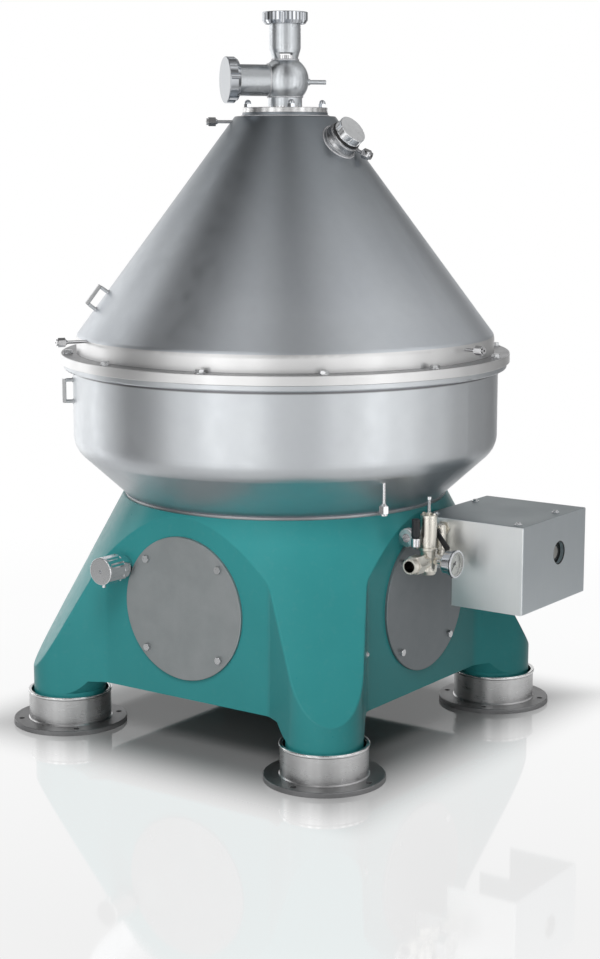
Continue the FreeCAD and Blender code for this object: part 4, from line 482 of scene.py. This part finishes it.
def hood_look():
    """Blasted cone with painted shade: darker towards its top and on its skirt, and a dark line over the
    flange painted as the shadow in the flange's corner.
    """
    look = blasted_steel("hood_steel", (0.652, 0.684, 0.718), 0.37)
    height = look.coordinate("Z")
    # Painted shade: the skirt below SKIRT_TOP is darker.
    look.tint(look.below(height, SKIRT_TOP), (0.8, 0.8, 0.8))
    # Painted shadow in the corner between the skirt and the flange.
    look.tint(look.inside(height, FLANGE_TOP - 0.0003, FLANGE_TOP + 0.0006), (0.3, 0.3, 0.31))
    # Painted shade: the cone darkens towards its top, between HOOD_TONE_LOW and HOOD_TONE_HIGH.
    look.tint(look.ranged(height, HOOD_TONE_LOW, HOOD_TONE_HIGH), (0.375, 0.39, 0.4), "MULTIPLY")
    return look


def casing_look():
    """Blasted casing with painted shade: darker on its thin base ring where it sits on the frame, and in
    the corner under its flange.
    """
    look = blasted_steel("casing_steel", (0.635, 0.66, 0.682), 0.36)
    height = look.coordinate("Z")
    # Painted shade on the base ring, where the casing meets the frame.
    look.tint(look.inside(height, RING_BOTTOM, RING_TOP), (0.35, 0.35, 0.36))
    # Painted shadow in the corner under the flange.
    corner = look.inside(height, FLANGE_BOTTOM - FLANGE_SHADE, FLANGE_BOTTOM - 0.0002, 0.0015)
    look.tint(corner, (0.2, 0.2, 0.21))
    return look


def sheet_look():
    """Box sheet with a faint upright grain, painted light over its front and painted shade over its top."""
    look = Surface("box_sheet", (0.595, 0.637, 0.66), metallic=1.0)
    grain = look.noise(1.0, detail=3.0, stretch=(900.0, 900.0, 12.0))
    clouds = look.noise(7.0, detail=4.0)
    # Painted light: the front face is lighter.
    look.tint(look.ranged(look.coordinate("Y"), BOX_FRONT + 0.001, BOX_FRONT), (0.93, 0.945, 0.945))
    # Painted shade: the top face is darker.
    look.tint(look.above(look.coordinate("Z"), BOX_TOP), (0.262, 0.305, 0.32))
    look.tint(grain, (0.82, 0.83, 0.85), "MULTIPLY", 0.3)
    look.tint(look.ranged(clouds, 0.35, 0.7), (0.88, 0.89, 0.9), "MULTIPLY", 0.4)
    look.vary_roughness(clouds, 0.36, 0.42)
    look.vary_roughness(grain, -0.03, 0.03)
    look.bump(grain, 0.000008)
    return look


def cover_look():
    """Matt grey cover sheet with cloudy patches, and painted shade on the side of the control box."""
    look = Surface("cover_sheet", (0.352, 0.378, 0.384), metallic=0.75)
    clouds = look.noise(16.0, detail=5.0, roughness=0.6)
    fine = look.noise(500.0, detail=3.0)
    shaded = look.ranged(look.coordinate("X"), COVER_SHADE_START, COVER_SHADE_END)
    look.tint(look.ranged(clouds, 0.35, 0.7), (0.5, 0.52, 0.53), strength=0.35)
    look.tint(look.ranged(fine, 0.4, 0.8), (0.75, 0.75, 0.75), "MULTIPLY", 0.25)
    # Painted shade on the side towards the control box.
    look.tint(shaded, (0.66, 0.67, 0.69), "MULTIPLY")
    look.vary_roughness(clouds, 0.44, 0.54)
    look.bump(fine, 0.00003)
    return look


def inlet_look():
    """Nickel-plated inlet whose bore is painted black as shade."""
    look = cast_metal("inlet_brass", (0.78, 0.75, 0.68), 0.3, depth=0.00002)
    distance = look.split(look.turned(INLET_PLACE, (0, -1, 0)))[1]
    # Painted shade inside the bore.
    look.blacken(look.below(distance, INLET_BORE))
    return look


def side_nut_look():
    """Polished nut whose flat end is painted a darker bluish grey as its reflection."""
    look = polished_steel("side_nut_steel", (0.55, 0.57, 0.6), 0.08)
    end = max(BRANCH_AXIS.dot(v.co) for v in nodes["side_blind_nut"].data.vertices)
    along = look.split(look.turned((0, 0, 0), BRANCH_AXIS))[2]
    # Painted reflection on the nut's flat end.
    look.tint(look.above(along, end - EDGE_SOFTNESS), (0.34, 0.355, 0.375))
    return look


def gauge_look():
    """Bright gauge case with painted shade on the edge behind its bezel."""
    look = polished_steel("gauge_steel", (0.72, 0.73, 0.75), 0.1)
    # Painted shade behind the bezel.
    look.blacken(look.inside(look.coordinate("X"), GAUGE_BEZEL, GAUGE_BEZEL + GAUGE_SHADE))
    return look


def glass_look():
    """Clear gauge glass with faint smears."""
    look = Surface("gauge_window", (0.98, 0.99, 0.99), roughness=0.03, Transmission_Weight=1.0, IOR=1.45)
    smear = look.noise(30.0, detail=3.0)
    look.vary_roughness(smear, 0.02, 0.05)
    return look


def make_materials():
    """All finishes by name."""
    looks = {
        "hood": hood_look(),
        "casing": casing_look(),
        "flange": blasted_steel("flange_steel", (0.68, 0.7, 0.715), 0.3),
        "plate": brushed_steel("plate_steel", (0.72, 0.72, 0.72), 0.24, (0, 0, 0), UP),
        "head": blasted_steel("head_steel", (0.625, 0.65, 0.67), 0.29, mottle=0.2),
        "bright": polished_steel("bright_steel"),
        "fitting": polished_steel("fitting_steel", (0.68, 0.68, 0.69), 0.13),
        "bolt": polished_steel("bolt_steel", (0.62, 0.63, 0.64), 0.26),
        "paint": paint_look(),
        "cover": cover_look(),
        "box": sheet_look(),
        "nickel": cast_metal("nickel_brass", (0.78, 0.75, 0.68), 0.3, depth=0.00002),
        "black": moulded("black_plastic", (0.012, 0.013, 0.016), 0.36),
        "rubber": moulded("black_rubber", (0.015, 0.015, 0.015), 0.6),
        "seal": moulded("white_seal", (0.55, 0.55, 0.52), 0.5),
        "dark_iron": cast_metal("dark_iron", (0.16, 0.165, 0.17), 0.5, metallic=0.6),
        "iron": cast_metal("cast_iron", (0.3, 0.3, 0.31), 0.5),
        "bronze": cast_metal("cage_bronze", (0.55, 0.4, 0.2), 0.35),
        "galvanised": cast_metal("galvanised_sheet", (0.5, 0.51, 0.52), 0.4, scale=90.0),
        "glass": glass_look(),
        "nut": polished_steel("nut_steel", (0.55, 0.57, 0.6), 0.08),
        "gauge": gauge_look(),
        "side_nut": side_nut_look(),
        "inlet": inlet_look(),
        "neck": brushed_steel("neck_steel", (0.5, 0.505, 0.515), 0.26, PORT_CENTRE, PORT_AXIS),
        "weld": blasted_steel("weld_steel", (0.72, 0.72, 0.73), 0.3, mottle=0.4, grain=0.00006),
        "dial": moulded("dial_enamel", (0.74, 0.74, 0.7), 0.4, depth=0.000005),
    }
    for side in FOOT_SIDES:
        low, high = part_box("foot_base_" + side)
        centre = (low + high) / 2
        looks["foot_" + side] = foot_look("foot_" + side + "_steel", (centre.x, centre.y, 0))
    return {name: look.done() for name, look in looks.items()}


FINISHES = {
    "hood": ["hood"],
    "casing": ["bowl_casing", "sediment_outlet"],
    "flange": ["guide_lugs"],
    "neck": ["port_neck"],
    "nut": ["top_blind_nut", "top_cap_nuts"],
    "side_nut": ["side_blind_nut"],
    "plate": ["top_plate"],
    "head": ["feed_head"],
    "bright": ["port_cap", "filler_cap", "adjusting_screw"],
    "gauge": ["gauge_case"],
    "inlet": ["inlet_union"],
    "fitting": ["tube_fittings", "filler_neck", "stop_valve"],
    "bolt": ["side_cover_bolts", "hood_bolts", "box_screws"],
    "paint": ["frame_housing"],
    "cover": ["side_covers"],
    "box": ["control_box"],
    "nickel": ["regulator_body", "regulator_bonnet", "ball_valve"],
    "black": ["valve_knob", "valve_lever", "gauge_needle"],
    "rubber": ["box_socket", "foot_buffers", "hood_gasket", "port_seal", "filler_seal"],
    "seal": ["top_seal", "side_seal"],
    "iron": ["motor_housing", "bearing_housing", "stator"],
    "dark_iron": ["motor_rotor"],
    "bronze": ["bearing_cages"],
    "galvanised": ["box_bracket"],
    "glass": ["gauge_glass"],
    "foot_front": ["foot_base_front"],
    "foot_left": ["foot_base_left"],
    "foot_back": ["foot_base_back"],
    "foot_right": ["foot_base_right"],
}
INNER_FINISH = "fitting"


def dress_nodes():
    """Gives every node of the frame its finish."""
    finish_of = {node: finish for finish, members in FINISHES.items() for node in members}
    for name, thing in nodes.items():
        thing.data.materials.clear()
        thing.data.materials.append(materials[finish_of.get(name, INNER_FINISH)])


# Details that the solids leave out, and dark pieces painted as shade, all riding on their bodies

def add_mesh(name, mesh, finish, body=MACHINE):
    """Puts a mesh in the scene as a piece with a finish, riding on a body."""
    mesh.materials.append(materials[finish])
    piece = bpy.data.objects.new(name, mesh)
    bpy.context.scene.collection.objects.link(piece)
    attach(piece, body)


def add_piece(name, points, faces, finish, body=MACHINE, sharp=35.0):
    """Piece of points and faces, smooth but for edges sharper than an angle."""
    mesh = bpy.data.meshes.new(name)
    mesh.from_pydata(points, [], faces)
    mesh.polygons.foreach_set("use_smooth", [True] * len(mesh.polygons))
    mesh.set_sharp_from_angle(angle=math.radians(sharp))
    add_mesh(name, mesh, finish, body)


def loft(rings, closed):
    """Points and faces through rings of equal length, closed into a loop or capped at both ends."""
    count = len(rings[0])
    points = [point for ring in rings for point in ring]
    faces = []
    last = len(rings) if closed else len(rings) - 1
    for row in range(last):
        near, far = row * count, (row + 1) % len(rings) * count
        for k in range(count):
            after = (k + 1) % count
            faces.append((near + k, near + after, far + after, far + k))
    if not closed:
        faces.append(tuple(reversed(range(count))))
        faces.append(tuple(range((len(rings) - 1) * count, len(rings) * count)))
    return points, faces


def turned_rings(profile, centre, axis, steps, ridge=0.0):
    """Rings of points about an axis, one for each (radius, along). A ridge gives straight knurls."""
    axis = Vector(axis).normalized()
    side = axis.orthogonal().normalized()
    other = axis.cross(side)
    rings = []
    for radius, along in profile:
        ring = []
        for k in range(steps):
            turn = math.tau * k / steps
            out = side * math.cos(turn) + other * math.sin(turn)
            reach = radius + (ridge if k % 4 < 2 else 0.0)
            ring.append(Vector(centre) + out * reach + axis * along)
        rings.append(ring)
    return rings


def add_turned(name, profile, centre, axis, finish, body=MACHINE, steps=64, closed=True, ridge=0.0):
    """Piece turned from a profile. A closed profile gives a ring, an open one a capped solid."""
    points, faces = loft(turned_rings(profile, centre, axis, steps, ridge), closed)
    add_piece(name, points, faces, finish, body)


def circle(centre, axis, radius, pitch=BEAD_PITCH):
    """Closed path around an axis, with points about a pitch apart and whole ripples."""
    steps = max(4 * BEAD_RIPPLE, round(math.tau * radius / pitch / BEAD_RIPPLE) * BEAD_RIPPLE)
    return turned_rings([(radius, 0.0)], centre, axis, steps)[0]


def add_bead(name, path, radius):
    """Weld bead along a closed path of points, with the ripples of its passes."""
    count = len(path)
    middle = sum(path, Vector((0, 0, 0))) / count
    around = [math.tau * j / BEAD_SIDES for j in range(BEAD_SIDES)]
    rings = []
    for k, point in enumerate(path):
        ahead = (path[(k + 1) % count] - path[k - 1]).normalized()
        side = ahead.cross(point - middle).normalized()
        other = ahead.cross(side)
        ripple = RIPPLE_DEPTH * math.sin(math.tau * k / BEAD_RIPPLE)
        drift = DRIFT_DEPTH * math.sin(DRIFT_STEP * k)
        swell = radius * (1.0 + ripple + drift)
        rings.append([point + (side * math.cos(turn) + other * math.sin(turn)) * swell for turn in around])
    points, faces = loft(rings, True)
    add_piece(name, points, faces, "weld", sharp=80.0)


def surface_of(node):
    """Tree for finding points on a node's mesh."""
    mesh = nodes[node].data
    return BVHTree.FromPolygons([v.co for v in mesh.vertices], [tuple(p.vertices) for p in mesh.polygons])


def dropped(tree, path, axis, reach):
    """Path moved along an axis onto a surface, from reach outside it."""
    landed = []
    for point in path:
        hit = tree.ray_cast(point + axis * reach, -axis, 2 * reach)[0]
        landed.append(hit if hit else point)
    return landed


def thread_profile(low, high, radius, depth, pitch, core):
    """Closed profile of thread ridges between two heights, on a ring as thick as its core."""
    profile = []
    turns = max(1, round((high - low) / pitch))
    step = (high - low) / turns
    for k in range(turns):
        profile += [(radius, low + k * step), (radius + depth, low + (k + 0.5) * step)]
    profile += [(radius, high), (radius - core, high), (radius - core, low)]
    return profile


def add_head_beads():
    """Welds of the globe with its neck, sleeve and branch, and of the hood's collar."""
    for name, axis, tube, side in (
            ("bead_sleeve", UP, SLEEVE_RADIUS, 1), ("bead_neck", UP, NECK_RADIUS, -1),
            ("bead_branch", BRANCH_AXIS, BRANCH_RADIUS, 1)):
        rise = math.sqrt(GLOBE_RADIUS ** 2 - tube ** 2)
        centre = GLOBE_CENTRE + axis * (rise * side + BEAD_LIFT)
        add_bead(name, circle(centre, axis, tube + BEAD_LIFT), HEAD_BEAD)
    centre = UP * (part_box("top_plate")[0].z - COLLAR_HEIGHT + BEAD_LIFT)
    add_bead("bead_collar", circle(centre, UP, COLLAR_RADIUS + COLLAR_BEAD_OFFSET), COLLAR_BEAD)


def add_port_details():
    """Weld around the inspection port's foot and a black ring under its cap."""
    path = circle(PORT_CENTRE, PORT_AXIS, PORT_BASE_RADIUS + BEAD_LIFT)
    add_bead("bead_port", dropped(surface_of("hood"), path, PORT_AXIS, PORT_BEAD_REACH), PORT_BEAD)
    add_turned("port_ring", PORT_RING, PORT_CENTRE, PORT_AXIS, "rubber", steps=72)


def lug_foot(node, height):
    """Place and outward direction of a shell where a lug's bar meets it."""
    outward = heading(LUG_ANGLE)
    return surface_of(node).ray_cast(UP * height + outward, -outward)[:2]


def add_lug_beads():
    """Welds at the feet of the two guide lugs."""
    for number, foot in enumerate(LUG_FEET):
        spot, normal = lug_foot(*foot)
        path = circle(spot + normal * BEAD_LIFT, normal, LUG_BAR + LUG_BEAD_OFFSET, LUG_BEAD_PITCH)
        add_bead(f"bead_lug_{number}", path, LUG_BEAD)


def add_lug_straps():
    """Flat straps over the outer runs of the two guide lugs."""
    across = UP.cross(heading(LUG_ANGLE))
    for number, (feet, rise, reach) in enumerate((
            (LUG_FEET[:2], CONE_RISE, HOOD_LUG_REACH), (LUG_FEET[2:], 0.0, CASING_LUG_REACH))):
        normal = heading(LUG_ANGLE, rise)
        near, far = [lug_foot(*foot)[0] + normal * (reach - LUG_BAR) for foot in feet]
        along = (far - near).normalized()
        rings = []
        for end, overhang, inset in (
                (near, -STRAP_OVERHANG, STRAP_BEVEL), (near, STRAP_BEVEL - STRAP_OVERHANG, 0.0),
                (far, STRAP_OVERHANG - STRAP_BEVEL, 0.0), (far, STRAP_OVERHANG, STRAP_BEVEL)):
            centre = end + along * overhang
            wide = STRAP_WIDTH / 2 - inset
            thick = LUG_BAR + STRAP_SKIN - inset
            rings.append([centre + across * (wide * a) + normal * (thick * b) for a, b in STRAP_OUTLINE])
        points, faces = loft(rings, False)
        add_piece(f"lug_strap_{number}", points, faces, "bright")


def dial_headings(share):
    """Directions outward and across on the dial, at a share of its sweep."""
    turn = math.radians(DIAL_FIRST + DIAL_SWEEP * share)
    return Vector((0, math.sin(turn), math.cos(turn))), Vector((0, math.cos(turn), -math.sin(turn)))


def add_dial_ticks(face, axis):
    """Long and short ticks on the dial's face, as one piece."""
    points, faces = [], []
    count = DIAL_STEPS * TICKS_TO_STEP
    for k in range(count + 1):
        out, across = dial_headings(k / count)
        inner, half = SHORT_TICK if k % TICKS_TO_STEP else LONG_TICK
        corners = ((inner, -half), (TICK_END, -half), (TICK_END, half), (inner, half))
        tick_points, tick_faces = loft([
            [face + out * reach + across * way + axis * lift for reach, way in corners]
            for lift in (0.0, TICK_HEIGHT)], False)
        faces += [tuple(len(points) + corner for corner in tick_face) for tick_face in tick_faces]
        points += tick_points
    add_piece("gauge_ticks", points, faces, "black")


def add_dial_numbers(face):
    """Plain even numbers on the dial's face."""
    for k in range(DIAL_STEPS + 1):
        name = f"gauge_number_{k}"
        curve = bpy.data.curves.new(name, "FONT")
        curve.body = str(k * DIAL_UNIT)
        curve.size = NUMBER_SIZE
        curve.align_x = "CENTER"
        curve.align_y = "CENTER"
        curve.extrude = NUMBER_DEPTH
        source = bpy.data.objects.new(name, curve)
        bpy.context.scene.collection.objects.link(source)
        mesh = bpy.data.meshes.new_from_object(source)
        bpy.data.objects.remove(source)
        spot = face + dial_headings(k / DIAL_STEPS)[0] * NUMBER_RADIUS
        mesh.transform(Matrix.Translation(spot) @ NUMBER_FACING)
        add_mesh(name, mesh, "black")


def add_gauge_details():
    """Dial with ticks and numbers, and the ring under the gauge's glass."""
    low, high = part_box("gauge_case")
    axis = Vector((1, 0, 0))
    centre = Vector((high.x - GAUGE_DEPTH, (low.y + high.y) / 2, (low.z + high.z) / 2))
    add_turned("gauge_dial", DIAL_PLATE, centre, axis, "dial", steps=72)
    add_turned("gauge_ring", DIAL_RING, centre, axis, "dial", steps=72)
    add_dial_ticks(centre + axis * DIAL_FACE, axis)
    add_dial_numbers(centre + axis * DIAL_FACE)


def add_valve_details():
    """Thread of the inlet, knurled band of the coupling and thread of the adjusting screw."""
    along = Vector((0, -1, 0))
    low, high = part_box("inlet_union")
    end = -low.y
    thread = thread_profile(end - INLET_THREAD_START, end - INLET_THREAD_END, **INLET_THREAD)
    centre = Vector(((low.x + high.x) / 2, 0, (low.z + high.z) / 2))
    add_turned("inlet_thread", thread, centre, along, "nickel", steps=72)
    add_turned("coupling_knurl", COUPLING_BAND, COUPLING_CENTRE, along, "fitting", steps=192,
               ridge=COUPLING_RIDGE)
    low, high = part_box("adjusting_screw")
    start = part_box("regulator_bonnet")[1].z + SCREW_THREAD_START
    thread = thread_profile(start, high.z - SCREW_THREAD_END, **SCREW_THREAD)
    centre = Vector(((low.x + high.x) / 2, (low.y + high.y) / 2, 0))
    add_turned("screw_thread", thread, centre, UP, "bright", "regulator_screw", steps=32)


def add_box_details():
    """Rim and shroud of the box's round hole, black as painted shade inside it, its disc in white enamel as
    a painted reflection, and black discs as painted shade in the recesses of its screws, with their
    washers.
    """
    low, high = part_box("control_box")
    centre = Vector((high.x, HOLE_Y, HOLE_Z))
    axis = (1, 0, 0)
    # Painted shade: black rim inside the hole's mouth.
    add_turned("hole_shade_rim", HOLE_SHADE_RIM, centre, axis, "rubber", steps=72)
    # Painted reflection: white enamel stands in for the bright silver disc.
    add_turned("socket_disc", SOCKET_DISC, centre + SOCKET_OFFSET, axis, "dial", steps=48, closed=False)
    # Painted shade: black shroud deep inside the hole.
    add_turned("hole_shade_shroud", HOLE_SHADE_SHROUD, centre, axis, "rubber", steps=72)
    for number, (x, y) in enumerate(BOX_SCREWS):
        head = (x, y, high.z + SCREW_HEAD)
        # Painted shade: black disc on the head where its recess would be dark.
        add_turned(f"box_recess_shade_{number}", SCREW_RECESS_SHADE, head, UP, "rubber", steps=6, closed=False)
        add_turned(f"box_washer_{number}", SCREW_WASHER, (x, y, high.z), UP, "bright", steps=40)


def add_leg_bolt():
    """Small bolt with its washer on the water side of the front leg."""
    outside = Vector((LEG_OUTSIDE_X, LEG_BOLT_Y, LEG_BOLT_Z))
    spot, normal = surface_of("frame_housing").ray_cast(outside, Vector((-1, 0, 0)))[:2]
    add_turned("leg_bolt", LEG_BOLT, spot, normal, "bolt", steps=6, closed=False)
    add_turned("leg_bolt_washer", LEG_WASHER, spot, normal, "bolt", steps=36, closed=False)


# Studio

def floor_material():
    """Board with a faint mirror gloss, which fades out at its edge. Near the feet it is dark grey, which
    deepens the machine's shadow as painted shade. Away from the feet the camera sees it as white as the
    background, and mirrors see it nearly so."""
    material = bpy.data.materials.new("floor_board")
    material.use_nodes = True
    board = Nodes(material.node_tree)
    board.tree.nodes.clear()
    place = board.node("ShaderNodeTexCoord").outputs["Object"]
    x, y, _ = board.split(place)
    widest = board.maths("SMOOTH_MAX", board.maths("ABSOLUTE", x), board.maths("ABSOLUTE", y), FLOOR_CORNER)
    away = board.ranged(widest, FLOOR_WHITE_START, FLOOR_WHITE_END, kind="SMOOTHSTEP")
    path = board.node("ShaderNodeLightPath").outputs
    watched = board.maths(
        "MULTIPLY_ADD", path["Is Glossy Ray"], FLOOR_MIRRORED_WHITE, path["Is Camera Ray"], clamp=True)
    edge = board.ranged(board.length(place), FLOOR_FADE_START, FLOOR_RADIUS, kind="SMOOTHSTEP")
    # Dark grey near the machine: painted shade that deepens its shadow.
    matt = board.output("ShaderNodeBsdfDiffuse", {"Color": (FLOOR_TONE, FLOOR_TONE, FLOOR_TONE, 1)})
    white = board.output("ShaderNodeEmission")
    gloss = board.output("ShaderNodeBsdfGlossy", {"Color": WHITE, "Roughness": FLOOR_GLOSS_ROUGHNESS})
    clear = board.output("ShaderNodeBsdfTransparent")
    surface = board.mixed(board.maths("MULTIPLY", watched, away), matt, white)
    surface = board.mixed(FLOOR_GLOSS, surface, gloss)
    surface = board.mixed(edge, surface, clear)
    board.node("ShaderNodeOutputMaterial", {"Surface": surface})
    return material


def add_floor():
    """Round floor, which is no part of the object."""
    mesh = bpy.data.meshes.new("floor")
    turns = [math.tau * k / FLOOR_STEPS for k in range(FLOOR_STEPS)]
    points = [(FLOOR_RADIUS * math.cos(turn), FLOOR_RADIUS * math.sin(turn), 0) for turn in turns]
    mesh.from_pydata(points, [], [tuple(range(FLOOR_STEPS))])
    mesh.materials.append(floor_material())
    floor = bpy.data.objects.new("floor", mesh)
    bpy.context.scene.collection.objects.link(floor)


def around(tones):
    """Tones by degrees to the right of the camera, as places from 0 to 1."""
    return [((angle + 180) / 360, tone) for angle, tone in tones]


def upward(tones):
    """Tones by degrees up, as places from 0 to 1."""
    return [(angle / 90, tone) for angle, tone in tones]


def add_world():
    """White studio behind the object. Gloss sees a room of pale and dark walls, other rays a soft light."""
    world = bpy.data.worlds.new("studio")
    bpy.context.scene.world = world
    world.use_nodes = True
    sky = Nodes(world.node_tree)
    sky.tree.nodes.clear()

    def background(colour, strength):
        return sky.output("ShaderNodeBackground", {"Color": colour, "Strength": strength})

    place = sky.node("ShaderNodeTexCoord").outputs["Generated"]
    x, y, z = sky.split(sky.output("ShaderNodeVectorRotate", {
        "Vector": place, "Angle": -math.radians(CAMERA_TURN)}, rotation_type="Z_AXIS"))
    angle = sky.maths("ARCTAN2", x, sky.maths("MULTIPLY", y, -1.0))
    way = sky.maths("ADD", sky.maths("DIVIDE", angle, math.tau), 0.5)
    rise = sky.maths("DIVIDE", sky.maths("ARCSINE", z), math.pi / 2)

    lifted = sky.ranged(rise, HIGH_START / 90, HIGH_END / 90)
    room = sky.blended(lifted, sky.toned(way, around(ROOM_TONES)), sky.toned(way, around(HIGH_TONES)))
    room = sky.blended(1.0, room, sky.toned(rise, upward(ROOM_HEIGHTS)), "MULTIPLY")
    soft = sky.toned(way, around(SOFT_TONES))
    soft = sky.blended(1.0, soft, sky.toned(rise, upward(SOFT_HEIGHTS)), "MULTIPLY")

    depth = sky.ranged(sky.maths("ABSOLUTE", angle), math.radians(BAND_FADE_END),
                       math.radians(BAND_FADE_START), 0.0, BAND_DEPTH)
    wave = sky.maths("SINE", sky.maths("MULTIPLY", angle, BAND_COUNT))
    bands = sky.maths("ADD", sky.maths("MULTIPLY", wave, depth), 1.0)

    path = sky.node("ShaderNodeLightPath").outputs
    seen = sky.maths("MAXIMUM", path["Is Camera Ray"], path["Is Transmission Ray"])
    lit = sky.mixed(path["Is Glossy Ray"], background(soft, 1.0), background(room, bands))
    sky.node("ShaderNodeOutputWorld", {"Surface": sky.mixed(seen, lit, background(WHITE, 1.0))})


def add_lamps():
    """Softboxes aimed at the middle of the machine, which gloss doesn't see."""
    for name, (angle, rise, distance, size, power) in LAMPS.items():
        lamp = bpy.data.lights.new(name, "AREA")
        lamp.shape = "SQUARE"
        lamp.size = size
        lamp.energy = power
        softbox = bpy.data.objects.new(name, lamp)
        softbox.location = LAMP_TARGET + heading(CAMERA_TURN + angle, rise) * distance
        softbox.rotation_mode = "QUATERNION"
        softbox.rotation_quaternion = (LAMP_TARGET - softbox.location).to_track_quat("-Z", "Y")
        softbox.visible_glossy = False
        bpy.context.scene.collection.objects.link(softbox)


def add_camera():
    """Camera at the photograph's viewing angle."""
    camera = bpy.data.objects.new("camera", bpy.data.cameras.new("camera"))
    camera.location = CAMERA_PLACE
    camera.rotation_euler = (math.radians(CAMERA_TILT), 0, math.radians(CAMERA_TURN))
    camera.data.lens = CAMERA_LENS
    camera.data.sensor_width = CAMERA_SENSOR
    bpy.context.scene.collection.objects.link(camera)
    bpy.context.scene.camera = camera


materials = make_materials()
dress_nodes()

add_head_beads()
add_port_details()
add_lug_beads()
add_lug_straps()
add_gauge_details()
add_valve_details()
add_box_details()
add_leg_bolt()

add_floor()
add_world()
add_lamps()
add_camera()
bpy.context.scene.view_settings.view_transform = "Standard"
